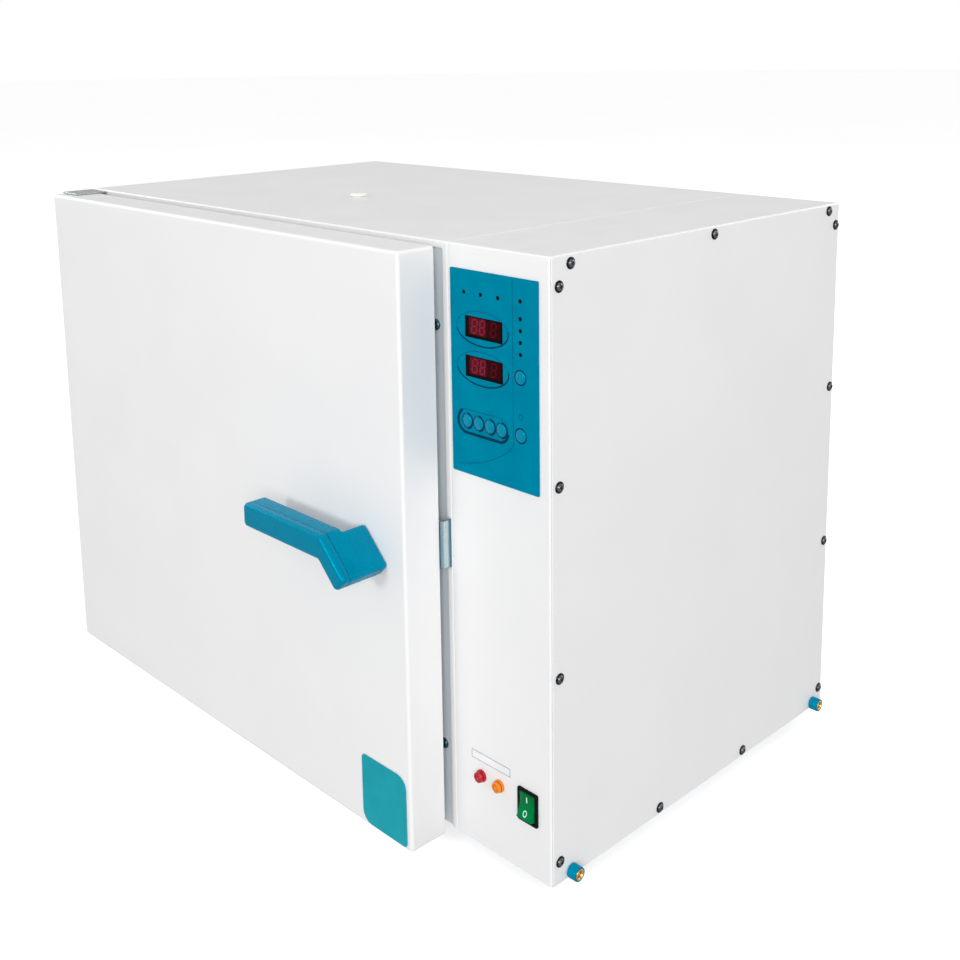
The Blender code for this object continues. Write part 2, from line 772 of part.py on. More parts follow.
def rocker_body_box(gap):
    half_width = BEZEL_WIDTH / 2 - BEZEL_BODY_INSET + gap
    half_height = BEZEL_HEIGHT / 2 - BEZEL_BODY_INSET + gap
    low = (ROCKER_X - half_width, -OVERRUN, ROCKER_HEIGHT - half_height)
    high = (ROCKER_X + half_width, SHEET + OVERRUN, ROCKER_HEIGHT + half_height)
    return low, high


def make_right_side_panel():
    mesh = rounded_box_mesh(
        "right_side_panel",
        (PANEL_INNER, SIDE_PANEL_MARGIN, SIDE_PANEL_MARGIN),
        (0, CABINET_DEPTH - SIDE_PANEL_MARGIN, CABINET_HEIGHT - SIDE_PANEL_MARGIN),
        0,
        BEND_RADIUS,
    )
    add_piece("right_side_panel", mesh, WHITE_PAINT, ROOT)


def make_rear_panel():
    panel = folded_sheet(
        "rear_panel",
        (INSIDE_LEFT, REAR_EDGE_START, FLOOR_TOP),
        (INSIDE_RIGHT, CABINET_DEPTH, CEILING),
        ("front", "top"),
        WHITE_PAINT,
        ROOT,
    )
    louvres = []
    for number in range(LOUVRE_COUNT):
        offset = (number - (LOUVRE_COUNT - 1) / 2) * LOUVRE_PITCH
        height = CHAMBER_CENTRE_HEIGHT + offset
        louvres.append(rear_slot(CHAMBER_MIDDLE - LOUVRE_WIDTH / 2, LOUVRE_WIDTH, height))
        column_height = CABINET_HEIGHT - COLUMN_LOUVRE_FROM_TOP + offset
        column_x = -COLUMN_LOUVRE_FROM_RIGHT - COLUMN_LOUVRE_WIDTH
        louvres.append(rear_slot(column_x, COLUMN_LOUVRE_WIDTH, column_height))
    cut_boxes(panel, "rear_louvres", louvres)
    gland_start = (-GLAND_FROM_RIGHT, REAR_INNER - OVERRUN, GLAND_FROM_BASE)
    drill(panel, "gland_hole", gland_start, SHEET + 2 * OVERRUN, GLAND_THREAD_RADIUS + SEAT_GAP, "+Y")


def rear_slot(start, width, height):
    low = (start, REAR_INNER - OVERRUN, height - LOUVRE_HEIGHT / 2)
    high = (start + width, CABINET_DEPTH + OVERRUN, height + LOUVRE_HEIGHT / 2)
    return low, high


def make_base_plate():
    """The floor of the cabinet, with an upright edge along each side."""
    base = folded_sheet(
        "base_plate",
        (INSIDE_LEFT, INSIDE_FRONT, 0),
        (INSIDE_RIGHT, REAR_INNER - SEAT_GAP, TURNED_EDGE),
        ("top", "front", "rear"),
        GALVANISED_STEEL,
        ROOT,
    )
    rear_ends = (
        (LEFT - OVERRUN, REAR_EDGE_START - SEAT_GAP, SHEET + SEAT_GAP / 2),
        (OVERRUN, CABINET_DEPTH + OVERRUN, TURNED_EDGE + OVERRUN),
    )
    cut_boxes(base, "base_rear_ends", [rear_ends])


def make_front_frame():
    """The grey steel frame round the mouth of the chamber, just behind the casing's flange."""
    low = (INSIDE_LEFT, FRAME_FRONT, 0)
    high = (KEEPER_RIGHT - KEEPER_SHEET - SEAT_GAP, FRAME_BACK, CEILING)
    frame = add_piece("front_frame", boxes_mesh("front_frame", [(low, high)]), GREY_STEEL, ROOT)
    mouth = rounded_box_mesh(
        "frame_mouth",
        (CHAMBER_LEFT, FRAME_FRONT - OVERRUN, CHAMBER_FROM_BASE),
        (CHAMBER_RIGHT, FRAME_BACK + OVERRUN, CHAMBER_TOP),
        1,
        CHAMBER_CORNER,
    )
    cut(frame, add_helper("frame_mouth", mouth))


def fan_place(depth):
    return (CHAMBER_MIDDLE, depth, CHAMBER_CENTRE_HEIGHT)


def heater_leg_places():
    places = []
    for side in (-1, 1):
        angle = math.radians(-90) + side * HEATER_LEG_HALF_ANGLE
        across = CHAMBER_MIDDLE + HEATER_RING_RADIUS * math.cos(angle)
        height = CHAMBER_CENTRE_HEIGHT + HEATER_RING_RADIUS * math.sin(angle)
        places.append((across, height))
    return places


def cut_service_holes(piece, start, length, gap):
    """Holes for the fan shaft and the heater's legs through a rear wall."""
    drill(piece, piece.name + "_shaft_hole", fan_place(start), length, FAN_SHAFT_RADIUS + 2 * gap, "+Y")
    for number, (across, height) in enumerate(heater_leg_places()):
        name = f"{piece.name}_heater_hole_{number + 1}"
        drill(piece, name, (across, start, height), length, HEATER_TUBE_RADIUS + gap, "+Y", SMALL_ROUND_STEPS)


def make_chamber_liner():
    """The stainless chamber: a deep box with rounded corners and a flange round its mouth."""
    outer = rounded_box_mesh(
        "chamber_liner",
        (CHAMBER_LEFT - LINER_WALL, INSIDE_FRONT, CHAMBER_FROM_BASE - LINER_WALL),
        (CHAMBER_RIGHT + LINER_WALL, CHAMBER_BACK + LINER_WALL, CHAMBER_TOP + LINER_WALL),
        1,
        CHAMBER_CORNER + LINER_WALL,
    )
    liner = add_piece("chamber_liner", outer, STAINLESS, ROOT)
    flange = rounded_box_mesh(
        "liner_flange",
        (CHAMBER_LEFT - LINER_FLANGE, INSIDE_FRONT, CHAMBER_FROM_BASE - LINER_FLANGE),
        (CHAMBER_RIGHT + LINER_FLANGE, INSIDE_FRONT + LINER_WALL, CHAMBER_TOP + LINER_FLANGE),
        1,
        CHAMBER_CORNER,
    )
    join(liner, add_helper("liner_flange", flange))
    cavity = rounded_box_mesh(
        "chamber_cavity",
        (CHAMBER_LEFT, -OVERRUN, CHAMBER_FROM_BASE),
        (CHAMBER_RIGHT, CHAMBER_BACK, CHAMBER_TOP),
        1,
        CHAMBER_CORNER,
    )
    cut(liner, add_helper("chamber_cavity", cavity))
    cut_service_holes(liner, CHAMBER_BACK - OVERRUN, LINER_WALL + 2 * OVERRUN, RUNNING_GAP)
    vent_start = (-VENT_FROM_RIGHT, VENT_FROM_FRONT, CHAMBER_TOP - OVERRUN)
    length = LINER_WALL + 2 * OVERRUN
    drill(liner, "liner_vent_hole", vent_start, length, VENT_TUBE_RADIUS + SEAT_GAP, "+Z")
    drill(liner, "liner_probe_hole", probe_place(-OVERRUN), length, PROBE_RADIUS + SEAT_GAP, "+X")


def probe_place(beyond):
    return (CHAMBER_RIGHT + beyond, CHAMBER_BACK - PROBE_FROM_BACK, CHAMBER_TOP - PROBE_FROM_CEILING)


def make_chamber_insulation():
    """Mineral wool wrapped round the chamber, open at the front."""
    wool = LINER_WALL + RUNNING_GAP
    low = (
        CHAMBER_LEFT - wool - INSULATION_SIDE,
        INSIDE_FRONT + wool,
        CHAMBER_FROM_BASE - wool - INSULATION_SIDE,
    )
    high = (
        CHAMBER_RIGHT + wool + INSULATION_SIDE,
        INSULATION_BACK,
        CHAMBER_TOP + wool + INSULATION_SIDE,
    )
    block = boxes_mesh("chamber_insulation", [(low, high)])
    insulation = add_piece("chamber_insulation", block, MINERAL_WOOL, ROOT)
    hollow = (
        (CHAMBER_LEFT - wool, -OVERRUN, CHAMBER_FROM_BASE - wool),
        (CHAMBER_RIGHT + wool, CHAMBER_BACK + wool, CHAMBER_TOP + wool),
    )
    cut_boxes(insulation, "insulation_hollow", [hollow])
    back = CHAMBER_BACK + wool - OVERRUN
    cut_service_holes(insulation, back, INSULATION_REAR + 2 * OVERRUN, RUNNING_GAP)
    vent_start = (-VENT_FROM_RIGHT, VENT_FROM_FRONT, CHAMBER_TOP + wool - OVERRUN)
    drill(
        insulation,
        "insulation_vent_hole",
        vent_start,
        INSULATION_SIDE + 2 * OVERRUN,
        VENT_TUBE_RADIUS + SEAT_GAP,
        "+Z",
    )
    drill(
        insulation,
        "insulation_probe_hole",
        probe_place(wool - OVERRUN),
        INSULATION_SIDE + 2 * OVERRUN,
        PROBE_RADIUS + SEAT_GAP,
        "+X",
    )


def make_vent():
    """A tube from the chamber to the roof, and the white cap that closes it."""
    place = (-VENT_FROM_RIGHT, VENT_FROM_FRONT, 0)
    bore = VENT_TUBE_RADIUS - VENT_TUBE_WALL
    roof = CABINET_HEIGHT - SHEET - SEAT_GAP
    tube_profile = [
        (VENT_TUBE_RADIUS, roof),
        (VENT_TUBE_RADIUS, CHAMBER_TOP),
        (bore, CHAMBER_TOP),
        (bore, roof),
    ]
    turned("vent_tube", tube_profile, place, "+Z", STAINLESS, ROOT, closed=True)
    seat = CABINET_HEIGHT + SEAT_GAP
    stem = bore - RUNNING_GAP
    cap_profile = [
        (0, seat + VENT_CAP_HEIGHT),
        (VENT_CAP_RADIUS - VENT_CAP_HEIGHT / 2, seat + VENT_CAP_HEIGHT),
        (VENT_CAP_RADIUS, seat + VENT_CAP_HEIGHT / 2),
        (VENT_CAP_RADIUS, seat),
        (stem, seat),
        (stem, seat - VENT_STEM_LENGTH),
        (0, seat - VENT_STEM_LENGTH),
    ]
    turned("vent_cap", cap_profile, place, "+Z", WHITE_PLASTIC, ROOT)


def make_air_baffle():
    """The duct cover at the back of the chamber, with its intake in front of the fan."""
    baffle = folded_sheet(
        "air_baffle",
        (CHAMBER_LEFT + DUCT_MARGIN_SIDE, DUCT_FRONT, CHAMBER_FROM_BASE + DUCT_MARGIN_END),
        (CHAMBER_RIGHT - DUCT_MARGIN_SIDE, CHAMBER_BACK - SEAT_GAP, CHAMBER_TOP - DUCT_MARGIN_END),
        ("rear",),
        STAINLESS,
        ROOT,
        wall=DUCT_WALL,
    )
    slots = []
    pitch = 2 * INTAKE_RADIUS / INTAKE_SLOT_COUNT
    for number in range(INTAKE_SLOT_COUNT):
        offset = (number - (INTAKE_SLOT_COUNT - 1) / 2) * pitch
        half_length = math.sqrt(INTAKE_RADIUS**2 - offset**2)
        height = CHAMBER_CENTRE_HEIGHT + offset
        low = (CHAMBER_MIDDLE - half_length, DUCT_FRONT - OVERRUN, height - INTAKE_SLOT / 2)
        high = (CHAMBER_MIDDLE + half_length, DUCT_FRONT + OVERRUN, height + INTAKE_SLOT / 2)
        slots.append((low, high))
    cut_boxes(baffle, "intake_slots", slots)
    outlets = []
    duct_height = CHAMBER_HEIGHT - 2 * DUCT_MARGIN_END
    outlet_pitch = duct_height / (OUTLET_SLOT_COUNT + 1)
    middle = (DUCT_FRONT + CHAMBER_BACK) / 2
    for number in range(OUTLET_SLOT_COUNT):
        height = CHAMBER_FROM_BASE + DUCT_MARGIN_END + (number + 1) * outlet_pitch
        low = (CHAMBER_LEFT, middle - OUTLET_SLOT_LENGTH / 2, height - OUTLET_SLOT_HEIGHT / 2)
        high = (CHAMBER_RIGHT, middle + OUTLET_SLOT_LENGTH / 2, height + OUTLET_SLOT_HEIGHT / 2)
        outlets.append((low, high))
    cut_boxes(baffle, "outlet_slots", outlets)


def make_ring_heater():
    """A tubular heater bent round the fan, whose two legs pass out through the rear wall."""
    ring_depth = CHAMBER_BACK - DUCT_DEPTH / 2
    tail_end = INSULATION_BACK + HEATER_TAIL
    sweep = 2 * math.pi - 2 * HEATER_LEG_HALF_ANGLE
    start = math.radians(-90) + HEATER_LEG_HALF_ANGLE
    ring = []
    for step in range(HEATER_RING_STEPS + 1):
        angle = start + sweep * step / HEATER_RING_STEPS
        across = CHAMBER_MIDDLE + HEATER_RING_RADIUS * math.cos(angle)
        height = CHAMBER_CENTRE_HEIGHT + HEATER_RING_RADIUS * math.sin(angle)
        ring.append(Vector((across, ring_depth, height)))
    bend = 2 * HEATER_TUBE_RADIUS
    first_leg = leg_points(ring[0], ring[1], bend, tail_end)
    last_leg = leg_points(ring[-1], ring[-2], bend, tail_end)
    points = first_leg + ring[1:-1] + list(reversed(last_leg))
    tube("ring_heater", points, HEATER_TUBE_RADIUS, DARK_STEEL, ROOT)


def leg_points(corner, beyond, bend, tail_end):
    """From the end of a leg to the ring: a straight run, then a short smooth bend."""
    along = (beyond - corner).normalized()
    back = Vector((0, 1, 0))
    points = [Vector((corner.x, tail_end, corner.z))]
    for step in range(CORNER_STEPS + 1):
        turn = math.radians(90) * step / CORNER_STEPS
        reach = along * bend * (1 - math.cos(turn)) + back * bend * (1 - math.sin(turn))
        points.append(corner + reach)
    return points


def make_fan():
    """The motor on the back of the insulation, and the shaft and impeller that it turns."""
    profile = [
        (0, MOTOR_LENGTH),
        (MOTOR_CAP_RADIUS, MOTOR_LENGTH),
        (MOTOR_CAP_RADIUS, MOTOR_LENGTH - MOTOR_FLANGE),
        (MOTOR_RADIUS, MOTOR_LENGTH - MOTOR_FLANGE),
        (MOTOR_RADIUS, MOTOR_FLANGE),
        (MOTOR_FLANGE_RADIUS, MOTOR_FLANGE),
        (MOTOR_FLANGE_RADIUS, 0),
        (FAN_SHAFT_RADIUS + RUNNING_GAP, 0),
        (FAN_SHAFT_RADIUS + RUNNING_GAP, MOTOR_BORE_DEPTH),
        (0, MOTOR_BORE_DEPTH),
    ]
    motor_front = INSULATION_BACK + SEAT_GAP
    turned("fan_motor", profile, fan_place(motor_front), "+Y", DARK_STEEL, ROOT)
    disc_back = CHAMBER_BACK - FAN_WALL_GAP
    disc_front = disc_back - FAN_DISC
    blade_front = disc_back - FAN_DEPTH
    carrier = new_carrier("fan_axis", fan_place(disc_back), ROOT)
    shaft_front = blade_front - RUNNING_GAP
    shaft_length = motor_front + MOTOR_BORE_DEPTH - RUNNING_GAP - shaft_front
    shaft_profile = [(0, shaft_length), (FAN_SHAFT_RADIUS, shaft_length), (FAN_SHAFT_RADIUS, 0), (0, 0)]
    turned("fan_shaft", shaft_profile, fan_place(shaft_front), "+Y", BRIGHT_STEEL, carrier)
    hub_bore = FAN_SHAFT_RADIUS + SEAT_GAP
    disc_height = disc_front - blade_front
    impeller_profile = [
        (hub_bore, disc_height + FAN_DISC),
        (FAN_RADIUS, disc_height + FAN_DISC),
        (FAN_RADIUS, disc_height),
        (FAN_HUB_RADIUS, disc_height),
        (FAN_HUB_RADIUS, 0),
        (hub_bore, 0),
    ]
    place = fan_place(blade_front)
    impeller = turned("fan_impeller", impeller_profile, place, "+Y", ALUMINIUM, carrier, closed=True)
    blades = bmesh.new()
    for number in range(FAN_BLADE_COUNT):
        points = add_box(
            blades,
            (FAN_HUB_RADIUS - 2 * FAN_BLADE, blade_front + FAN_BLADE, -FAN_BLADE / 2),
            (FAN_RADIUS - FAN_BLADE, disc_front + FAN_DISC / 2, FAN_BLADE / 2),
        )
        turn = Matrix.Rotation(2 * math.pi * number / FAN_BLADE_COUNT, 3, "Y")
        bmesh.ops.rotate(blades, verts=points, cent=(0, 0, 0), matrix=turn)
    helper = add_helper("fan_blades", finished_mesh("fan_blades", blades), None, fan_place(0))
    join(impeller, helper)


def runner_levels():
    """The height of each ledge, spaced evenly between the first and the last."""
    first = CHAMBER_FROM_BASE + RUNNER_FROM_FLOOR + RUNNER_FIRST_LEDGE
    last = CHAMBER_TOP - RUNNER_TOP_MARGIN - RUNNER_LAST_LEDGE
    pitch = (last - first) / (RUNNER_LEDGE_COUNT - 1)
    return [first + number * pitch for number in range(RUNNER_LEDGE_COUNT)]


def make_shelf_runner(name, wall_x, inward):
    """An upright plate on a chamber wall, with a ledge for each shelf level."""
    back = DUCT_FRONT - RUNNER_END_GAP
    near = wall_x + inward * SEAT_GAP
    face = near + inward * SHEET
    top = CHAMBER_TOP - RUNNER_TOP_MARGIN
    upright = ordered_box(near, face, RUNNER_FROM_FRONT, back, CHAMBER_FROM_BASE + RUNNER_FROM_FLOOR, top)
    runner = add_piece(name, boxes_mesh(name, [upright]), STAINLESS, ROOT)
    inset = SEAT_GAP
    ledges = []
    for level in runner_levels():
        root_x = face - inward * SHEET / 2
        tip_x = face + inward * LEDGE_WIDTH
        ledges.append(
            ordered_box(root_x, tip_x, RUNNER_FROM_FRONT + inset, back - inset, level - SHEET, level)
        )
    join(runner, add_helper(name + "_ledges", boxes_mesh(name + "_ledges", ledges)))


def ordered_box(first_x, second_x, front, back, bottom, top):
    low = (min(first_x, second_x), front, bottom)
    high = (max(first_x, second_x), back, top)
    return low, high


def make_shelf(name):
    """A stainless tray with a lip in front and behind and two rows of slots."""
    side = SEAT_GAP + SHEET + SHELF_SIDE_GAP
    front = RUNNER_FROM_FRONT + SHELF_FRONT_GAP
    back = DUCT_FRONT - RUNNER_END_GAP - SHELF_REAR_GAP
    left = CHAMBER_LEFT + side
    right = CHAMBER_RIGHT - side
    bottom = runner_levels()[FREE_LEDGE_COUNT[name]] + SEAT_GAP
    carrier = new_carrier(name + "_slide", ((left + right) / 2, front, bottom), ROOT)
    shelf = folded_sheet(
        name,
        (left, front, bottom),
        (right, back, bottom + SHELF_LIP),
        ("top", "left", "right"),
        STAINLESS,
        carrier,
        wall=SHELF_SHEET,
    )
    pitch = (right - left - 2 * SHELF_SLOT_MARGIN) / (SHELF_SLOT_COUNT - 1)
    row_depth = (back - front - 2 * SHELF_SLOT_MARGIN - SHELF_SLOT_BRIDGE) / SHELF_SLOT_ROWS
    slots = []
    for row in range(SHELF_SLOT_ROWS):
        slot_front = front + SHELF_SLOT_MARGIN + row * (row_depth + SHELF_SLOT_BRIDGE)
        for number in range(SHELF_SLOT_COUNT):
            middle = left + SHELF_SLOT_MARGIN + number * pitch
            low = (middle - SHELF_SLOT_WIDTH / 2, slot_front, bottom - OVERRUN)
            high = (middle + SHELF_SLOT_WIDTH / 2, slot_front + row_depth, bottom + OVERRUN)
            slots.append((low, high))
    cut_boxes(shelf, name + "_slots", slots)


def make_temperature_probe():
    outside = CHAMBER_RIGHT + LINER_WALL + RUNNING_GAP + INSULATION_SIDE + SEAT_GAP
    length = outside - CHAMBER_RIGHT + PROBE_REACH
    profile = [
        (0, length + PROBE_HEAD),
        (PROBE_HEAD_RADIUS, length + PROBE_HEAD),
        (PROBE_HEAD_RADIUS, length),
        (PROBE_RADIUS, length),
        (PROBE_RADIUS, PROBE_RADIUS / 2),
        (PROBE_RADIUS / 2, 0),
        (0, 0),
    ]
    tip = probe_place(-PROBE_REACH)
    turned("temperature_probe", profile, tip, "+X", BRIGHT_STEEL, ROOT, SMALL_ROUND_STEPS)


def make_power_module():
    """The relay with its fins, on the wall between the column and the chamber."""
    left = COLUMN_LEFT + SEAT_GAP
    low = (left, POWER_FROM_FRONT, POWER_FROM_BASE)
    high = (left + POWER_THICKNESS, POWER_FROM_FRONT + POWER_DEPTH, POWER_FROM_BASE + POWER_HEIGHT)
    module = add_piece("power_module", boxes_mesh("power_module", [(low, high)]), ALUMINIUM, ROOT)
    gap_count = POWER_FIN_COUNT - 1
    gap = (POWER_HEIGHT - POWER_FIN_COUNT * POWER_FIN) / gap_count
    gaps = []
    for number in range(gap_count):
        bottom = POWER_FROM_BASE + POWER_FIN + number * (gap + POWER_FIN)
        gaps.append(
            (
                (left + POWER_PLATE, POWER_FROM_FRONT - OVERRUN, bottom),
                (left + POWER_THICKNESS + OVERRUN, POWER_FROM_FRONT + POWER_DEPTH + OVERRUN, bottom + gap),
            )
        )
    cut_boxes(module, "power_fin_gaps", gaps)


def make_membrane():
    mesh = rounded_box_mesh(
        "membrane_panel",
        (MEMBRANE_LEFT, MEMBRANE_FRONT, MEMBRANE_BOTTOM),
        (MEMBRANE_RIGHT, MEMBRANE_BACK, MEMBRANE_TOP),
        1,
        MEMBRANE_CORNER,
    )
    membrane = add_piece("membrane_panel", mesh, TEAL_PLASTIC, ROOT)
    cut_boxes(membrane, "membrane_windows", display_boxes(SEAT_GAP))
    holes = [(place, BUTTON_RADIUS + RUNNING_GAP) for place in button_places().values()]
    cut(membrane, round_holes("membrane_button_holes", holes))


def make_displays():
    for name, height in DISPLAY_HEIGHTS.items():
        front = MEMBRANE_FRONT + DISPLAY_RECESS
        low = (DISPLAY_X - DISPLAY_WIDTH / 2, front, height - DISPLAY_HEIGHT / 2)
        high = (DISPLAY_X + DISPLAY_WIDTH / 2, BOARD_DEPTH - SEAT_GAP, height + DISPLAY_HEIGHT / 2)
        add_piece(name, boxes_mesh(name, [(low, high)]), DISPLAY_RED, ROOT)


def make_control_board():
    """The board behind the membrane, on four posts against the column's front."""
    left = MEMBRANE_LEFT + BOARD_MARGIN
    right = MEMBRANE_RIGHT - BOARD_MARGIN
    bottom = MEMBRANE_BOTTOM + BOARD_MARGIN
    top = MEMBRANE_TOP - BOARD_MARGIN
    plate = ((left, BOARD_DEPTH, bottom), (right, BOARD_DEPTH + BOARD_SHEET, top))
    board = add_piece("control_board", boxes_mesh("control_board", [plate]), BOARD_GREEN, ROOT)
    post_front = SHEET + SEAT_GAP
    length = BOARD_DEPTH + BOARD_SHEET / 2 - post_front
    rods = []
    for across in (left + BOARD_POST_INSET, right - BOARD_POST_INSET):
        for height in (bottom + BOARD_POST_INSET, top - BOARD_POST_INSET):
            rods.append(((across, height, -post_front - length), length, BOARD_POST_RADIUS))
    mesh = rods_mesh("board_posts", rods, SMALL_ROUND_STEPS)
    join(board, add_helper("board_posts", mesh, AXIS_TURN["-Y"]))


def make_buttons():
    """Button caps in the membrane's holes. Each has a stem that reaches towards the board."""
    stem_end = BOARD_DEPTH - BUTTON_TRAVEL - RUNNING_GAP
    front = MEMBRANE_FRONT - BUTTON_PROUD
    cap_back = -BUTTON_TRAVEL - SEAT_GAP
    for name, (across, _, height) in button_places().items():
        profile = [
            (0, -front),
            (BUTTON_RADIUS - BUTTON_PROUD / 2, -front),
            (BUTTON_RADIUS, -front - BUTTON_PROUD / 2),
            (BUTTON_RADIUS, -cap_back),
            (BUTTON_STEM_RADIUS, -cap_back),
            (BUTTON_STEM_RADIUS, -stem_end),
            (0, -stem_end),
        ]
        carrier = new_carrier(name + "_slide", (across, 0, height), ROOT)
        turned(name, profile, (across, 0, height), "-Y", TEAL_PLASTIC, carrier, SMALL_ROUND_STEPS)


def make_lamps():
    paints = {"red_lamp": RED_LENS, "amber_lamp": AMBER_LENS}
    for name, place in LAMP_PLACES.items():
        profile = [
            (0, SEAT_GAP + LAMP_PROUD),
            (LAMP_NOSE_RADIUS, SEAT_GAP + LAMP_PROUD),
            (LAMP_LENS_RADIUS, SEAT_GAP + LAMP_SHOULDER),
            (LAMP_LENS_RADIUS, SEAT_GAP + LAMP_COLLAR),
            (LAMP_RADIUS, SEAT_GAP + LAMP_COLLAR),
            (LAMP_RADIUS, SEAT_GAP),
            (LAMP_STEM_RADIUS, SEAT_GAP),
            (LAMP_STEM_RADIUS, -LAMP_STEM_LENGTH),
            (0, -LAMP_STEM_LENGTH),
        ]
        turned(name, profile, place, "-Y", paints[name], ROOT, ROUND_STEPS)


def make_rocker_switch():
    """The bezel with its body behind the panel, and the rocker that tips in it."""
    back = -SEAT_GAP
    front = back - BEZEL_PROUD
    rim = rounded_box_mesh(
        "rocker_bezel",
        (ROCKER_X - BEZEL_WIDTH / 2, front, ROCKER_HEIGHT - BEZEL_HEIGHT / 2),
        (ROCKER_X + BEZEL_WIDTH / 2, back, ROCKER_HEIGHT + BEZEL_HEIGHT / 2),
        1,
        BEZEL_CORNER,
    )
    bezel = add_piece("rocker_bezel", rim, BLACK_PLASTIC, ROOT)
    (left, _, bottom), (right, _, top) = rocker_body_box(0)
    body = ((left, back - BEZEL_PROUD / 2, bottom), (right, BEZEL_BODY_DEPTH, top))
    join(bezel, add_helper("rocker_body", boxes_mesh("rocker_body", [body])))
    half_width = BEZEL_WIDTH / 2 - BEZEL_RIM - BEZEL_BODY_INSET / 2
    half_height = BEZEL_HEIGHT / 2 - BEZEL_RIM
    well = (
        (ROCKER_X - half_width, front - OVERRUN, ROCKER_HEIGHT - half_height),
        (ROCKER_X + half_width, BEZEL_BODY_DEPTH - BEZEL_WALL, ROCKER_HEIGHT + half_height),
    )
    cut_boxes(bezel, "rocker_well", [well])
    pivot = Vector((ROCKER_X, ROCKER_PIVOT_DEPTH, ROCKER_HEIGHT))
    carrier = new_carrier("rocker_axis", pivot, ROOT)
    reach = half_height - ROCKER_END_GAP
    crest = front - ROCKER_CREST - ROCKER_PIVOT_DEPTH
    valley = front - ROCKER_VALLEY - ROCKER_PIVOT_DEPTH
    outline = [
        (crest, reach),
        (valley, 0),
        (crest, -reach),
        (ROCKER_HEEL, -reach + ROCKER_END_GAP),
        (ROCKER_BACK, 0),
        (ROCKER_HEEL, reach - ROCKER_END_GAP),
    ]
    half_rocker = half_width - ROCKER_SIDE_GAP
    mesh = outline_mesh("rocker", outline, -half_rocker, half_rocker, "X")
    tilt = Matrix.Rotation(-ROCKER_TILT, 4, "X")
    add_piece("rocker", mesh, GREEN_LENS, carrier, tilt, pivot)


def make_cable_gland():
    seat = CABINET_DEPTH + SEAT_GAP
    profile = [
        (GLAND_BORE_RADIUS, GLAND_REACH),
        (GLAND_NOSE_RADIUS, GLAND_REACH),
        (GLAND_RADIUS, GLAND_NUT),
        (GLAND_RADIUS, 0),
        (GLAND_THREAD_RADIUS, 0),
        (GLAND_THREAD_RADIUS, -GLAND_TAIL),
        (GLAND_BORE_RADIUS, -GLAND_TAIL),
    ]
    place = (-GLAND_FROM_RIGHT, seat, GLAND_FROM_BASE)
    turned("cable_gland", profile, place, "+Y", BLACK_PLASTIC, ROOT, closed=True)


def make_feet():
    places = {
        "front_left_foot": (LEFT + FOOT_INSET, FOOT_INSET),
        "front_right_foot": (-FOOT_INSET, FOOT_INSET),
        "rear_left_foot": (LEFT + FOOT_INSET, CABINET_DEPTH - FOOT_INSET),
        "rear_right_foot": (-FOOT_INSET, CABINET_DEPTH - FOOT_INSET),
    }
    profile = [
        (0, -SEAT_GAP),
        (FOOT_RADIUS, -SEAT_GAP),
        (FOOT_TOE_RADIUS, -FOOT_HEIGHT),
        (0, -FOOT_HEIGHT),
    ]
    for name, (across, depth) in places.items():
        turned(name, profile, (across, depth, 0), "+Z", RUBBER, ROOT)


def make_posts():
    """Two short posts on the right side, each with a threaded brass insert in its end."""
    places = {
        "front": (0, POST_FROM_FRONT, POST_HEIGHT),
        "rear": (0, CABINET_DEPTH - POST_FROM_BACK, POST_HEIGHT),
    }
    end = SEAT_GAP + POST_LENGTH
    bore = INSERT_RADIUS + SEAT_GAP
    insert_end = end + INSERT_PROUD
    insert_start = insert_end - INSERT_LENGTH
    cup_floor = insert_start - SEAT_GAP
    post_profile = [
        (0, cup_floor),
        (bore, cup_floor),
        (bore, end),
        (POST_RADIUS, end),
        (POST_RADIUS, SEAT_GAP + POST_CHAMFER),
        (POST_RADIUS - POST_CHAMFER, SEAT_GAP),
        (0, SEAT_GAP),
    ]
    insert_profile = [
        (INSERT_BORE_RADIUS, insert_end),
        (INSERT_RADIUS, insert_end),
        (INSERT_RADIUS, insert_start),
        (INSERT_BORE_RADIUS, insert_start),
    ]
    for side, place in places.items():
        turned(f"{side}_post", post_profile, place, "+X", TEAL_PLASTIC, ROOT)
        turned(f"{side}_post_insert", insert_profile, place, "+X", BRASS, ROOT, closed=True)


def make_hinge(name, ear_outer, inward, door_z):
    """A bracket whose ear lies past the door's end, and the pin that runs from it into the door."""
    left = LEFT + BEND_RADIUS
    right = LEFT + HINGE_FLANGE - HINGE_LEAF_MARGIN
    leaf_end = ear_outer + inward * HINGE_LEAF_HEIGHT
    back = -SEAT_GAP
    bottom = min(ear_outer, leaf_end)
    top = max(ear_outer, leaf_end)
    closed_end = "bottom" if inward > 0 else "top"
    open_end = "top" if inward > 0 else "bottom"
    low = (left, PIN_Y - HINGE_EAR_LEAD, bottom)
    high = (right, back, top)
    sides = ("left", "right", "front", open_end)
    bracket = folded_sheet(name + "_bracket", low, high, sides, ZINC, ROOT, wall=HINGE_SHEET)
    hole_start = (PIN_X, PIN_Y, SIDES[closed_end].z * OVERRUN + ear_outer)
    direction = "+Z" if inward > 0 else "-Z"
    depth = HINGE_SHEET + 2 * OVERRUN
    drill(bracket, name + "_ear_hole", hole_start, depth, PIN_RADIUS + SEAT_GAP, direction)
    length = abs(ear_outer - door_z) + PIN_REACH
    pin_profile = [(0, length), (PIN_RADIUS, length), (PIN_RADIUS, 0), (0, 0)]
    turned(name + "_pin", pin_profile, (PIN_X, PIN_Y, ear_outer), direction, BRIGHT_STEEL, ROOT)


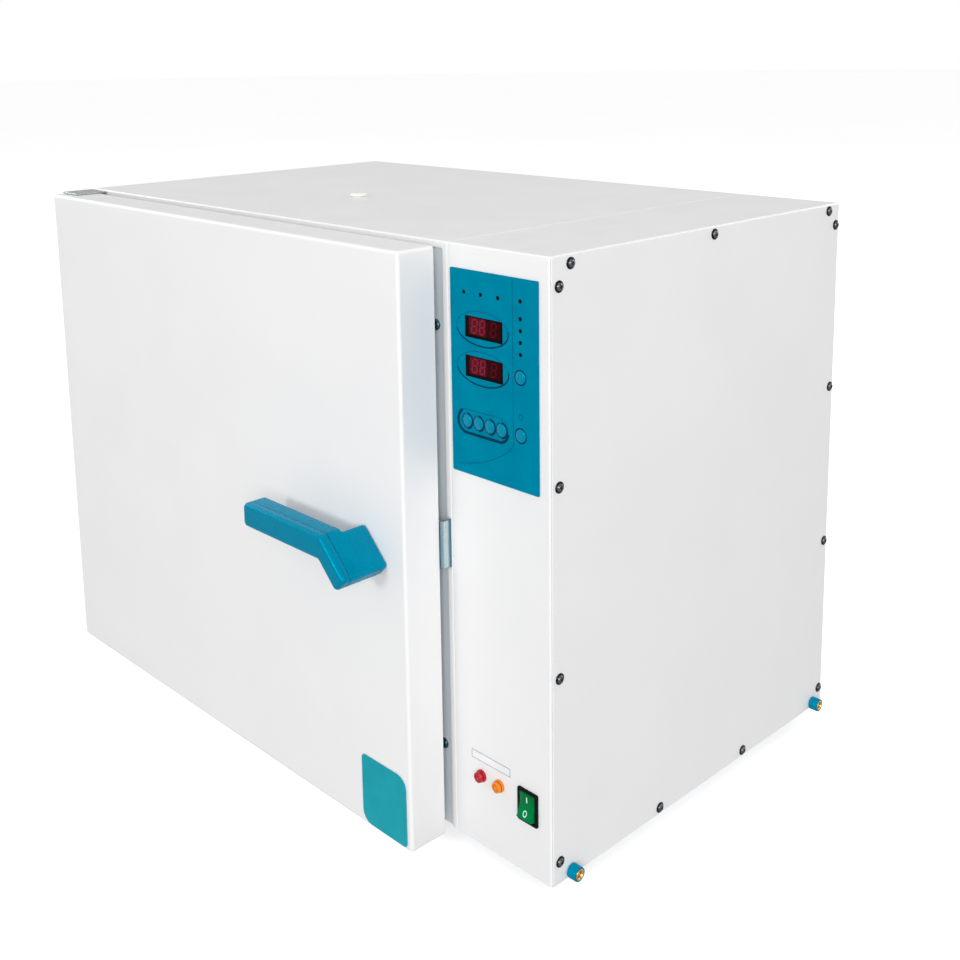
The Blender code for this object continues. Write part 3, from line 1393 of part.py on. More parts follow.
def make_hinge_bush(name, door_z, inward, carrier):
    """The bush just inside the door's skin that turns on the pin."""
    start = door_z + inward * (SHEET + SEAT_GAP)
    bore = PIN_RADIUS + SEAT_GAP
    profile = [
        (bore, BUSH_LENGTH),
        (BUSH_RADIUS, BUSH_LENGTH),
        (BUSH_RADIUS, 0),
        (bore, 0),
    ]
    direction = "+Z" if inward > 0 else "-Z"
    turned(name + "_bush", profile, (PIN_X, PIN_Y, start), direction, BRASS, carrier, closed=True)


def make_hinges(door_axis):
    upper_ear = DOOR_TOP + HINGE_EAR_GAP + HINGE_SHEET
    lower_ear = DOOR_BOTTOM - HINGE_EAR_GAP - HINGE_SHEET
    make_hinge("upper_hinge", upper_ear, -1, DOOR_TOP)
    make_hinge("lower_hinge", lower_ear, 1, DOOR_BOTTOM)
    make_hinge_bush("upper_hinge", DOOR_TOP, -1, door_axis)
    make_hinge_bush("lower_hinge", DOOR_BOTTOM, 1, door_axis)


def make_door_skin(door_axis):
    """The door's outer pan, open at the back."""
    skin = folded_sheet(
        "door_skin",
        (LEFT, DOOR_FRONT, DOOR_BOTTOM),
        (DOOR_RIGHT, DOOR_BACK, DOOR_TOP),
        ("rear",),
        WHITE_PAINT,
        door_axis,
        inner_bend=DOOR_BEND - SHEET,
    )
    length = SHEET + 2 * OVERRUN
    hole = PIN_RADIUS + RUNNING_GAP
    drill(skin, "skin_upper_pin_hole", (PIN_X, PIN_Y, DOOR_TOP - SHEET - OVERRUN), length, hole, "+Z")
    drill(skin, "skin_lower_pin_hole", (PIN_X, PIN_Y, DOOR_BOTTOM - OVERRUN), length, hole, "+Z")
    spindle_start = (LATCH_X, DOOR_FRONT - OVERRUN, LATCH_HEIGHT)
    drill(skin, "skin_spindle_hole", spindle_start, length, SPINDLE_RADIUS + RUNNING_GAP, "+Y")


def make_door_inner_panel(door_axis):
    """The stainless back of the door, with a shallow plug that enters the chamber's mouth."""
    inset = SHEET + SEAT_GAP
    low = (LEFT + inset, PANEL_FRONT, DOOR_BOTTOM + inset)
    high = (DOOR_RIGHT - inset, PANEL_BACK, DOOR_TOP - inset)
    mesh = rounded_box_mesh("door_inner_panel", low, high, 1, DOOR_BEND)
    panel = add_piece("door_inner_panel", mesh, STAINLESS, door_axis)
    plug_front = PANEL_FRONT + SHEET / 2
    plug = rounded_box_mesh(
        "door_plug",
        (CHAMBER_LEFT + PLUG_MARGIN, plug_front, CHAMBER_FROM_BASE + PLUG_MARGIN),
        (CHAMBER_RIGHT - PLUG_MARGIN, PLUG_REACH, CHAMBER_TOP - PLUG_MARGIN),
        1,
        CHAMBER_CORNER + SHEET,
    )
    join(panel, add_helper("door_plug", plug))
    margin = PLUG_MARGIN + SHEET
    hollow = rounded_box_mesh(
        "door_plug_hollow",
        (CHAMBER_LEFT + margin, PANEL_FRONT - OVERRUN, CHAMBER_FROM_BASE + margin),
        (CHAMBER_RIGHT - margin, PLUG_REACH - SHEET, CHAMBER_TOP - margin),
        1,
        CHAMBER_CORNER,
    )
    cut(panel, add_helper("door_plug_hollow", hollow))
    spindle_start = (LATCH_X, PANEL_FRONT - OVERRUN, LATCH_HEIGHT)
    drill(panel, "panel_spindle_hole", spindle_start, SHEET + 2 * OVERRUN, SPINDLE_RADIUS + RUNNING_GAP, "+Y")


def make_door_insulation(door_axis):
    inset = SHEET + RUNNING_GAP
    low = (LEFT + DOOR_FILL_MARGIN, DOOR_FRONT + inset, DOOR_BOTTOM + DOOR_FILL_END_MARGIN)
    high = (
        DOOR_RIGHT - DOOR_FILL_LATCH_SPACE,
        PANEL_FRONT - RUNNING_GAP,
        DOOR_TOP - DOOR_FILL_END_MARGIN,
    )
    mesh = boxes_mesh("door_insulation", [(low, high)])
    add_piece("door_insulation", mesh, MINERAL_WOOL, door_axis)


def make_door_gasket(door_axis):
    """The silicone seal on the door's back, pressed against the front frame all round the mouth."""
    front = PANEL_BACK + SEAT_GAP
    back = FRAME_FRONT - SEAT_GAP
    reach = GASKET_MARGIN + GASKET_WIDTH
    outer = rounded_box_mesh(
        "door_gasket",
        (CHAMBER_LEFT - reach, front, CHAMBER_FROM_BASE - reach),
        (CHAMBER_RIGHT + reach, back, CHAMBER_TOP + reach),
        1,
        GASKET_CORNER,
    )
    gasket = add_piece("door_gasket", outer, SILICONE, door_axis)
    inner = rounded_box_mesh(
        "gasket_opening",
        (CHAMBER_LEFT - GASKET_MARGIN, front - OVERRUN, CHAMBER_FROM_BASE - GASKET_MARGIN),
        (CHAMBER_RIGHT + GASKET_MARGIN, back + OVERRUN, CHAMBER_TOP + GASKET_MARGIN),
        1,
        GASKET_CORNER - GASKET_WIDTH / 2,
    )
    cut(gasket, add_helper("gasket_opening", inner))


def make_door_plate(door_axis):
    """The bare plate near the door's lower right corner, with two small and two large corners."""
    right = DOOR_RIGHT - PLATE_FROM_DOOR_EDGE
    left = right - PLATE_WIDTH
    bottom = DOOR_BOTTOM + PLATE_FROM_DOOR_FOOT
    top = bottom + PLATE_HEIGHT
    outline = rounded_outline(
        [
            ((left, bottom), PLATE_LARGE_CORNER),
            ((right, bottom), PLATE_SMALL_CORNER),
            ((right, top), PLATE_LARGE_CORNER),
            ((left, top), PLATE_SMALL_CORNER),
        ]
    )
    back = DOOR_FRONT - SEAT_GAP
    mesh = outline_mesh("door_plate", outline, back - PLATE_SHEET, back)
    add_piece("door_plate", mesh, DEEP_TEAL, door_axis)


def make_spindle_bush(door_axis):
    """The bush between the door's skin and its inner panel that carries the handle's spindle."""
    start = DOOR_FRONT + SHEET + SEAT_GAP
    length = PANEL_FRONT - SEAT_GAP - start
    bore = SPINDLE_RADIUS + SEAT_GAP
    profile = [(bore, length), (SPINDLE_BUSH_RADIUS, length), (SPINDLE_BUSH_RADIUS, 0), (bore, 0)]
    turned("spindle_bush", profile, (LATCH_X, start, LATCH_HEIGHT), "+Y", BRASS, door_axis, closed=True)


def handle_outline():
    """The lever's outline about its pivot: arm to the left, bend, and leg down to the right."""
    along = Vector((math.cos(LEG_SLANT), -math.sin(LEG_SLANT)))
    across = Vector((math.sin(LEG_SLANT), math.cos(LEG_SLANT)))
    upper_edge = LEG_WIDTH / 2
    end_upper = along * LEG_END + across * upper_edge
    end_lower = along * LEG_END - across * upper_edge
    bend_upper = meet_height(end_upper, along, ARM_TOP)
    bend_lower = meet_height(end_lower, along, ARM_BOTTOM)
    corners = [
        ((-ARM_REACH, ARM_BOTTOM), HANDLE_CORNER),
        (bend_lower, HANDLE_CORNER),
        (end_lower, HANDLE_CORNER),
        (end_upper, HANDLE_CORNER),
        (bend_upper, HANDLE_CORNER),
        ((-ARM_REACH, ARM_TOP), HANDLE_CORNER),
    ]
    pivot = Vector((LATCH_X, LATCH_HEIGHT))
    return rounded_outline([(Vector(corner) + pivot, radius) for corner, radius in corners])


def meet_height(start, along, height):
    """Where a slanted edge reaches a level."""
    return start + along * ((height - start.y) / along.y)


def make_handle(door_axis):
    """The two-part lever, and the spindle with the cam that it turns."""
    pivot = (LATCH_X, DOOR_FRONT, LATCH_HEIGHT)
    handle_axis = new_carrier("handle_axis", pivot, door_axis)
    outline = handle_outline()
    cover = outline_mesh("handle_cover", outline, HANDLE_FRONT, HANDLE_SEAM)
    soften_rim(cover, 1, HANDLE_FRONT, HANDLE_EDGE, HANDLE_EDGE_STEPS)
    add_piece("handle_cover", cover, TEAL_PLASTIC, handle_axis)
    shell_mesh = outline_mesh("handle_shell", outline, HANDLE_SHELL_FRONT, HANDLE_FOOT)
    shell = add_piece("handle_shell", shell_mesh, TEAL_PLASTIC, handle_axis)
    slope = Matrix.Rotation(LEG_SLANT, 4, "Y")
    reach = ARM_REACH + LEG_END
    clear = boxes_mesh(
        "finger_space",
        [((-reach, HANDLE_ARM_BACK, -reach), (-LEG_START, HANDLE_FOOT + OVERRUN, reach))],
    )
    cut(shell, add_helper("finger_space", clear, slope, (LATCH_X, 0, LATCH_HEIGHT)))
    bore_start = (LATCH_X, SPINDLE_FRONT - SEAT_GAP, LATCH_HEIGHT)
    drill(shell, "handle_bore", bore_start, SPINDLE_IN_HANDLE + OVERRUN, SPINDLE_RADIUS + SEAT_GAP, "+Y")
    make_latch_spindle(handle_axis)


def make_latch_spindle(handle_axis):
    """The spindle with its collar and its cam, which points down while the latch is free."""
    left = LATCH_X - CAM_HALF_WIDTH
    right = LATCH_X + CAM_HALF_WIDTH
    bottom = LATCH_HEIGHT - CAM_REACH
    top = LATCH_HEIGHT + CAM_BACK
    outline = rounded_outline(
        [
            ((left, bottom), CAM_CORNER),
            ((right, bottom), CAM_CORNER),
            ((right, top), CAM_CORNER),
            ((left, top), CAM_CORNER),
        ]
    )
    mesh = outline_mesh("latch_spindle", outline, CAM_FRONT, CAM_REAR)
    spindle = add_piece("latch_spindle", mesh, ZINC, handle_axis)
    length = CAM_REAR + SPINDLE_TAIL - SPINDLE_FRONT
    collar_start = PANEL_BACK + SEAT_GAP - SPINDLE_FRONT
    collar_length = CAM_FRONT + CAM_SHEET / 2 - PANEL_BACK - SEAT_GAP
    start = (LATCH_X, SPINDLE_FRONT, LATCH_HEIGHT)
    rod = rods_mesh("spindle_rod", [((0, 0, 0), length, SPINDLE_RADIUS)])
    join(spindle, add_helper("spindle_rod", rod, AXIS_TURN["+Y"], start))
    collar = rods_mesh("spindle_collar", [((0, 0, collar_start), collar_length, SPINDLE_COLLAR_RADIUS)])
    join(spindle, add_helper("spindle_collar", collar, AXIS_TURN["+Y"], start))


def make_latch_keeper():
    """The keeper: a plate through the casing's flange, bent to the left behind the door's edge."""
    folded_sheet(
        "latch_keeper",
        (KEEPER_LEFT, KEEPER_FRONT, KEEPER_BOTTOM),
        (KEEPER_RIGHT, KEEPER_TAIL, KEEPER_TOP),
        ("left", "rear", "bottom", "top"),
        ZINC,
        ROOT,
        wall=KEEPER_SHEET,
    )


def root_place():
    """The middle of the whole product's footprint, under its feet, in the working frame."""
    right_end = SEAT_GAP + POST_LENGTH + INSERT_PROUD
    rear_end = CABINET_DEPTH + SEAT_GAP + GLAND_REACH
    return Vector(((LEFT + right_end) / 2, (HANDLE_FRONT + rear_end) / 2, -FOOT_HEIGHT))


clear_scene()
PARTS = new_collection("dry_heat_sterilizer")
HELPERS = new_collection("cutters_and_guides")

WHITE_PAINT = new_paint("white_paint", (0.86, 0.86, 0.86), 0.35)
WHITE_PLASTIC = new_paint("white_plastic", (0.80, 0.80, 0.78), 0.5)
GREY_STEEL = new_paint("grey_steel", (0.40, 0.43, 0.45), 0.45, 0.6)
GALVANISED_STEEL = new_paint("galvanised_steel", (0.50, 0.52, 0.54), 0.4, 0.9)
STAINLESS = new_paint("stainless_steel", (0.62, 0.62, 0.61), 0.3, 1.0)
DARK_STEEL = new_paint("dark_steel", (0.12, 0.12, 0.13), 0.45, 0.8)
BRIGHT_STEEL = new_paint("bright_steel", (0.66, 0.66, 0.66), 0.25, 1.0)
ALUMINIUM = new_paint("aluminium", (0.70, 0.71, 0.72), 0.4, 1.0)
ZINC = new_paint("zinc_plate", (0.45, 0.58, 0.66), 0.35, 0.9)
BRASS = new_paint("brass", (0.76, 0.56, 0.30), 0.3, 1.0)
MINERAL_WOOL = new_paint("mineral_wool", (0.62, 0.57, 0.40), 0.95)
SILICONE = new_paint("silicone", (0.55, 0.16, 0.10), 0.6)
RUBBER = new_paint("rubber", (0.03, 0.03, 0.03), 0.8)
TEAL_PLASTIC = new_paint("teal_plastic", (0.0, 0.27, 0.42), 0.4)
DEEP_TEAL = new_paint("deep_teal", (0.0, 0.20, 0.24), 0.4)
DISPLAY_RED = new_paint("display_red", (0.05, 0.004, 0.008), 0.2)
BLACK_PLASTIC = new_paint("black_plastic", (0.02, 0.02, 0.02), 0.5)
GREEN_LENS = new_paint("green_lens", (0.0, 0.19, 0.05), 0.25)
RED_LENS = new_paint("red_lens", (0.70, 0.01, 0.03), 0.25)
AMBER_LENS = new_paint("amber_lens", (0.85, 0.25, 0.01), 0.25)
BOARD_GREEN = new_paint("board_green", (0.02, 0.14, 0.06), 0.5)

ROOT = new_carrier("sterilizer_root", (0, 0, 0))
ROOT.location = -root_place()

make_main_casing()
make_column_casing()
make_right_side_panel()
make_rear_panel()
make_base_plate()
make_front_frame()
make_chamber_liner()
make_chamber_insulation()
make_vent()
make_air_baffle()
make_ring_heater()
make_fan()
make_shelf_runner("left_shelf_runner", CHAMBER_LEFT, 1)
make_shelf_runner("right_shelf_runner", CHAMBER_RIGHT, -1)
make_shelf("lower_shelf")
make_shelf("upper_shelf")
make_temperature_probe()
make_power_module()
make_membrane()
make_displays()
make_control_board()
make_buttons()
make_lamps()
make_rocker_switch()
make_cable_gland()
make_feet()
make_posts()
make_latch_keeper()
DOOR_AXIS = new_carrier("door_axis", (PIN_X, PIN_Y, DOOR_BOTTOM), ROOT)
make_hinges(DOOR_AXIS)
make_door_skin(DOOR_AXIS)
make_door_inner_panel(DOOR_AXIS)
make_door_insulation(DOOR_AXIS)
make_door_gasket(DOOR_AXIS)
make_door_plate(DOOR_AXIS)
make_spindle_bush(DOOR_AXIS)
make_handle(DOOR_AXIS)
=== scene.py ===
"""The looks of a bench-top dry heat sterilizer: finishes, fasteners, display digits, marks and soft edges.

Sizes are in metres. A place on the cabinet is written as (x, y, z): x from its right side, running
left as minus x, y back from its front plane, and z up from its base.
"""

import json
import math

import bmesh
import bpy
from mathutils import Matrix, Vector


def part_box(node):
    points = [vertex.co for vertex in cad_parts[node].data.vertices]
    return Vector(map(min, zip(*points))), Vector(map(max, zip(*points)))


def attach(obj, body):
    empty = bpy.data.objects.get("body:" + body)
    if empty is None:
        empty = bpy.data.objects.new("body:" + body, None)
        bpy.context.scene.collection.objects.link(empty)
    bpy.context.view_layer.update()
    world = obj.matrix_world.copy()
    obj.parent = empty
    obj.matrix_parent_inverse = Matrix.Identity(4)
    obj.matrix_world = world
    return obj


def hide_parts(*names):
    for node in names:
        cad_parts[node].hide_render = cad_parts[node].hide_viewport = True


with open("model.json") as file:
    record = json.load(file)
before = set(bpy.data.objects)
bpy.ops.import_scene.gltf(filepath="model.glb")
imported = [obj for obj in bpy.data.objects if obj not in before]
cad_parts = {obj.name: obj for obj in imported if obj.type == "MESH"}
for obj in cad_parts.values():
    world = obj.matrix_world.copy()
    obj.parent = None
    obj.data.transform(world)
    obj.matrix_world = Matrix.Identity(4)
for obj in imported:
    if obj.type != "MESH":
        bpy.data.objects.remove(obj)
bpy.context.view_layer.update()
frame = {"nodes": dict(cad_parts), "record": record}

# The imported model's own places
CORNER = Vector((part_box("right_side_panel")[1].x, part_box("column_casing")[0].y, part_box("column_casing")[0].z))
MEMBRANE_LOW, MEMBRANE_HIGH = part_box("membrane_panel")
FRAME_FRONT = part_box("front_frame")[0].y
REAR_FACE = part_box("rear_panel")[1].y

# Camera, solved from the corners of the cabinet and the door
CAMERA_PLACE = Vector((0.5891, -0.6428, 0.6499))
CAMERA_YAW = math.radians(-45.809)
CAMERA_PITCH = math.radians(10.316)
CAMERA_ROLL = math.radians(-0.782)
IMAGE_SIDE = 960
FOCAL_PIXELS = 1247.8
OPTICAL_HEIGHT = 270

MERGE = 0.000002

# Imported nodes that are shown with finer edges: body, node, width of the broken edge
REFINED_NODES = (
    ("cabinet", "main_casing", 0.0006),
    ("cabinet", "column_casing", 0.0006),
    ("cabinet", "right_side_panel", 0.00035),
    ("cabinet", "front_frame", 0.0002),
    ("cabinet", "rear_panel", 0.0002),
    ("cabinet", "base_plate", 0.0002),
    ("cabinet", "latch_keeper", 0.0003),
    ("cabinet", "upper_hinge_bracket", 0.0003),
    ("cabinet", "lower_hinge_bracket", 0.0003),
    ("door", "door_skin", 0.0003),
    ("door", "door_plate", 0.0002),
    ("cabinet", "membrane_panel", 0.0002),
)

# Fasteners: (y, z) on the right side, and (x, z) on the rear and on the grey strip
SIDE_SCREW_PLACES = (
    (0.0084, 0.0196), (0.0084, 0.1740), (0.0084, 0.3266), (0.0084, 0.4775),
    (0.0210, 0.4930), (0.1980, 0.4935), (0.3766, 0.4940),
    (0.3890, 0.0173), (0.3890, 0.1714), (0.3890, 0.3257), (0.3890, 0.4800),
    (0.1350, 0.0065), (0.2580, 0.0065),
)
REAR_SCREW_PLACES = (
    (-0.6640, 0.0100), (-0.6640, 0.1700), (-0.6640, 0.3300), (-0.6640, 0.4900),
    (-0.0115, 0.0100), (-0.0115, 0.1700), (-0.0115, 0.3300), (-0.0115, 0.4900),
    (-0.4465, 0.0100), (-0.2290, 0.0100), (-0.4465, 0.4900), (-0.2290, 0.4900),
)
STRIP_SCREW_PLACES = ((-0.1238, 0.4320), (-0.1238, 0.0720))
SIDE_SCREW_RADIUS = 0.0032
SIDE_SCREW_HEIGHT = 0.0024
WASHER_RADIUS = 0.0046
WASHER_SHEET = 0.0007
WASHER_EDGE = 0.0003
STRIP_SCREW_RADIUS = 0.0046
STRIP_SCREW_HEIGHT = 0.0026

# Membrane: places are (x, z)
DOT_PLACES = (
    (-0.0889, 0.4634), (-0.0708, 0.4634), (-0.0524, 0.4634),
    (-0.0294, 0.4641), (-0.0294, 0.4508), (-0.0294, 0.4419), (-0.0294, 0.4329), (-0.0294, 0.4239),
)
DOT_RADIUS = 0.0017
SINGLE_KEYS = ("select_button", "start_button")
KEYS = ("button_1", "button_2", "button_3", "button_4", *SINGLE_KEYS)
OVAL_PLACES = ((-0.0696, 0.4367), (-0.0696, 0.4056))
OVAL_HALF = (0.0279, 0.0134)
TRAY_LOW = (-0.0970, 0.3520)
TRAY_HIGH = (-0.0425, 0.3710)
DIVIDER_X = -0.0373
DIVIDER_KNOTS = (
    (-0.0373, 0.3640), (-0.0373, 0.3550), (-0.0392, 0.3500), (-0.0440, 0.3455), (-0.0510, 0.3410),
    (-0.0640, 0.3343), (-0.0780, 0.3293), (-0.0900, 0.3264), (-0.0965, 0.3258),
)
KEY_RING_PLACE = (-0.0295, 0.3760)
KEY_RING_RADIUS = 0.0022
# Painted shade round the keys: the width of the crescents on the four keys and of the full rings round the single keys
KEY_SHADE_THICKNESS = 0.00085
KEY_SHADE_RING_THICKNESS = 0.00050
KEY_CAP_SHARE = 0.90
EMBOSS_RADIUS = 0.00030
# Painted shade along the low sides of the ovals and the tray: its widths, then where it runs round the ovals, the
# crescents on the keys and the tray
SHADE_RADIUS = 0.00060
TRAY_RIM_RADIUS = 0.0012
OVAL_SHADE = (190, 370)
KEY_SHADE = (-85, 85)
TRAY_SHADE = (0.08, 0.72)

# Lever handle: places are (across, up) from its pivot
HANDLE_FRONT, HANDLE_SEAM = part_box("handle_cover")[0].y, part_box("handle_cover")[1].y
HANDLE_SHELL_FRONT, HANDLE_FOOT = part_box("handle_shell")[0].y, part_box("handle_shell")[1].y
ARM_REACH = 0.1165
ARM_TOP = 0.0223
ARM_BOTTOM = 0.0015
ARM_BACK_FROM_FRONT = 0.0204
LEG_WIDTH = 0.0170
LEG_END = 0.0188
LEG_START = 0.0210
LEG_SLANT = math.radians(45)
HANDLE_CORNER = 0.0045
HANDLE_EDGE = 0.0034
HANDLE_SEAM_EDGE = 0.0005
HANDLE_SHELL_EDGE = 0.0004
HANDLE_BLOCK_EDGE = 0.0035
HANDLE_BLOCK_FILLET = 0.0030
HANDLE_BLOCK_SPARE = 0.0003
HANDLE_FOOT_EDGE = 0.0028

# Rocker switch: depths are from the bezel's front
ROCKER_TILT = math.radians(11)
ROCKER_PIVOT_BEHIND = 0.0044
ROCKER_CREST = 0.0024
ROCKER_VALLEY = 0.0003
ROCKER_REACH = 0.01035
ROCKER_HALF_WIDTH = 0.0077
ROCKER_HEEL = 0.0020
ROCKER_EDGE = 0.0004
BEZEL_HALF = (0.0107, 0.01415)
WELL_HALF = (0.0081, 0.01215)
WELL_DEPTH = 0.0120
BEZEL_CORNER = 0.0015
BEZEL_ROUND = 0.0007
ROCKER_INK = 0.00006
ROCKER_RING_OUTER = 0.0026
ROCKER_RING_INNER = 0.0017
ROCKER_RING_HEIGHT = -0.0056
ROCKER_BAR_WIDTH = 0.0013
ROCKER_BAR_LOW = 0.0030
ROCKER_BAR_HIGH = 0.0078

# Neon lamps: their share of the imported lamps' radius, and the shares of it where the lens is painted darker as
# shade, in its groove and on a ring of its nose
LAMP_SHARE = 0.94
LAMP_GROOVE = (0.38, 0.54)
LAMP_NOSE = (0.38, 0.52)

# Threaded insert
THREAD_BORE_SHARE = 0.66
THREAD_LENGTH = 0.0060
THREAD_TURNS = 7

# Small printed strip above the lamps
STRIP_LOW = (-0.0892, 0.0753)
STRIP_HIGH = (-0.0455, 0.0825)
STRIP_SHEET = 0.00015
STRIP_LINE = 0.0004

# Displays: the filter's margins on the black module, where the painted reflection on the filter ends, and the digits
FILTER_LEFT = 0.0044
FILTER_RIGHT = 0.0020
FILTER_BOTTOM = 0.0024
FILTER_TOP = 0.0007
FILTER_SHEET = 0.0001
FLANGE_SPARE = 0.0006
DISPLAY_PAINTED_REFLECTION_SHARE = 0.55
DISPLAY_PAINTED_REFLECTION_BLUR = 0.0015
DIGIT_PLACES = (0.25, 0.46, 0.76)
DIGIT_HEIGHT = 0.0118
DIGIT_WIDTH = 0.0064
SEGMENT_WIDTH = 0.0013
SEGMENT_SHEET = 0.00008
SEGMENT_GAP = 0.0003

# Keeper: the pale band in its plating
KEEPER_BAND_BEHIND = 0.0034
KEEPER_BAND_HALF = 0.0026
KEEPER_BAND_RAG = 0.0016

# Stage: reach in metres, then each light's place, target, width, height and power in watts
STAGE_REACH = 30
FLOOR_GLOW = 0.5
WORLD_GLOW = 0.48
LIGHTS = (
    ("key", (0.3, -4.6, 1.6), (0.0, -0.2, 0.25), 0.8, 0.8, 48),
    ("fill", (3.4, -3.2, 1.6), (0.2, -0.1, 0.25), 2.0, 2.0, 92),
    ("side", (3.0, -0.7, 1.3), (0.3, 0.0, 0.25), 1.6, 1.6, 14),
    ("top", (0.0, 0.1, 3.2), (0.0, 0.0, 0.5), 2.0, 2.0, 15),
    ("rear", (0.9, 4.4, 1.6), (0.0, 0.2, 0.25), 2.0, 2.0, 60),
    ("left", (-3.6, -0.6, 1.4), (-0.3, 0.0, 0.25), 2.0, 2.0, 45),
)


def on_cabinet(x, y, z):
    """A place on the cabinet, in the shared frame."""
    return CORNER + Vector((x, y, z))


# Node helper and colours


def linear(code):
    """An sRGB hex colour as linear values with full opacity."""
    values = []
    for start in (1, 3, 5):
        share = int(code[start:start + 2], 16) / 255
        values.append(share / 12.92 if share <= 0.04045 else ((share + 0.055) / 1.055) ** 2.4)
    return (*values, 1.0)


def add_node(tree, kind, settings=None, values=None, links=None):
    """Adds a node with its settings, the values of its sockets and the outputs that feed them."""
    node = tree.nodes.new(kind)
    for name, value in (settings or {}).items():
        setattr(node, name, value)
    for socket, value in (values or {}).items():
        node.inputs[socket].default_value = value
    for socket, output in (links or {}).items():
        tree.links.new(output, node.inputs[socket])
    return node


def new_finish(name, roughness, metallic=0.0, **sockets):
    """A material with the values that are the same all over its surface."""
    material = bpy.data.materials.new(name)
    material.use_nodes = True
    tree = material.node_tree
    shader = tree.nodes["Principled BSDF"]
    shader.inputs["Roughness"].default_value = roughness
    shader.inputs["Metallic"].default_value = metallic
    for socket, value in sockets.items():
        shader.inputs[socket.replace("_", " ")].default_value = value
    place = add_node(tree, "ShaderNodeTexCoord").outputs["Object"]
    return material, tree, shader, place


def grain(tree, place, size, detail=2.0, stretch=(1, 1, 1), distortion=0.0):
    """Noise whose grains are of one size in metres, drawn out along an axis by the stretch."""
    scale = tuple(1 / share for share in stretch)
    mapping = add_node(tree, "ShaderNodeMapping", values={"Scale": scale}, links={"Vector": place})
    noise = add_node(
        tree,
        "ShaderNodeTexNoise",
        values={"Scale": 1 / size, "Detail": detail, "Distortion": distortion},
        links={"Vector": mapping.outputs["Vector"]},
    )
    return noise.outputs["Fac"]


def spread(tree, shader, pattern, low, high, socket="Roughness"):
    """Lets a pattern move one value of the shader between two limits."""
    ranged = add_node(
        tree,
        "ShaderNodeMapRange",
        values={"From Min": 0.3, "From Max": 0.7, "To Min": low, "To Max": high},
        links={"Value": pattern},
    )
    tree.links.new(ranged.outputs["Result"], shader.inputs[socket])


def two_colours(tree, shader, pattern, first, second, low=0.35, high=0.65):
    """Lets a pattern move the surface's colour between two close colours."""
    ranged = add_node(
        tree, "ShaderNodeMapRange", values={"From Min": low, "From Max": high}, links={"Value": pattern}
    )
    mix = add_node(
        tree,
        "ShaderNodeMix",
        settings={"data_type": "RGBA"},
        values={6: linear(first), 7: linear(second)},
        links={0: ranged.outputs["Result"]},
    )
    tree.links.new(mix.outputs[2], shader.inputs["Base Color"])


def bump(tree, shader, pattern, height, strength=1.0):
    """Raises the surface by a pattern, at most by a height in metres."""
    node = add_node(
        tree, "ShaderNodeBump", values={"Strength": strength, "Distance": height}, links={"Height": pattern}
    )
    tree.links.new(node.outputs["Normal"], shader.inputs["Normal"])


def coated_sheet(name, first, second, roughness):
    """Powder coat on sheet steel: an even satin colour with a fine orange-peel ripple."""
    material, tree, shader, place = new_finish(name, roughness, IOR=1.5)
    two_colours(tree, shader, grain(tree, place, 0.09), first, second)
    spread(tree, shader, grain(tree, place, 0.03, 3.0), roughness - 0.04, roughness + 0.06)
    bump(tree, shader, grain(tree, place, 0.0016, 1.0), 0.00003, 0.35)
    return material


def brushed_metal(name, first, second, roughness, stretch, size=0.0006):
    """Sheet brushed one way: long fine scratches that draw out the highlights."""
    material, tree, shader, place = new_finish(name, roughness, 1.0)
    lines = grain(tree, place, size, 3.0, stretch)
    two_colours(tree, shader, lines, first, second)
    spread(tree, shader, lines, roughness - 0.04, roughness + 0.06)
    bump(tree, shader, lines, 0.00001, 0.3)
    return material


def moulded_plastic(name, first, second, roughness, size=0.0007, height=0.00002, **sockets):
    """Injection-moulded plastic: an even colour with the fine texture of the mould."""
    material, tree, shader, place = new_finish(name, roughness, **sockets)
    two_colours(tree, shader, grain(tree, place, 0.02), first, second)
    spread(tree, shader, grain(tree, place, 0.008, 3.0), roughness - 0.03, roughness + 0.06)
    bump(tree, shader, grain(tree, place, size, 1.0), height, 0.5)
    return material


# Tint of the gloss on the teal mouldings, whose lit edges turn cyan
CYAN_GLOSS = linear("#2ED4F2")

# White powder coat: a satin white with a soft orange peel that blurs reflections
WHITE_COAT = coated_sheet("white_powder_coat", "#F0F0F0", "#EEEEEF", 0.34)
# Fine brushed stainless: scratches run across the sheet
STAINLESS = brushed_metal("brushed_stainless", "#CBCBC9", "#C4C4C2", 0.34, (60, 1, 1))
# Pale grey satin coat of the frame behind the door: even, and a little cooler than the white
GREY_COAT = coated_sheet("pale_grey_satin_coat", "#E4EEF4", "#E0EAF0", 0.42)
# Mill-finish aluminium: soft grey with rolling lines
ALUMINIUM = brushed_metal("mill_aluminium", "#D0D2D4", "#C2C4C7", 0.42, (1, 1, 40))
# Ground bright steel: almost a mirror, with fine rings along its length
BRIGHT_STEEL = brushed_metal("ground_steel", "#CFCFCF", "#BFBFBF", 0.22, (1, 1, 30))
# White moulded plastic of the vent cap
WHITE_PLASTIC = moulded_plastic("white_moulded_plastic", "#EFEFEB", "#E6E6E1", 0.45)
# Teal ABS: satin, and lit edges turn cyan
TEAL_PLASTIC = moulded_plastic(
    "teal_moulded_abs", "#0089AA", "#0086A7", 0.27, 0.0030, 0.000001,
    Metallic=0.22, Specular_IOR_Level=0.10, Specular_Tint=CYAN_GLOSS,
)
# Teal polyester film on the control column: finer and a little duller than the handle
TEAL_FILM = moulded_plastic(
    "teal_polyester_film", "#0083A2", "#007D9C", 0.45, 0.0005, 0.00001, Specular_IOR_Level=0.0
)
# Teal silicone of the key caps, a little lighter than the film round them
TEAL_KEY = moulded_plastic(
    "teal_key_caps", "#0086A6", "#0080A0", 0.20, 0.0020, 0.000001,
    Specular_IOR_Level=0.60, Specular_Tint=CYAN_GLOSS,
)
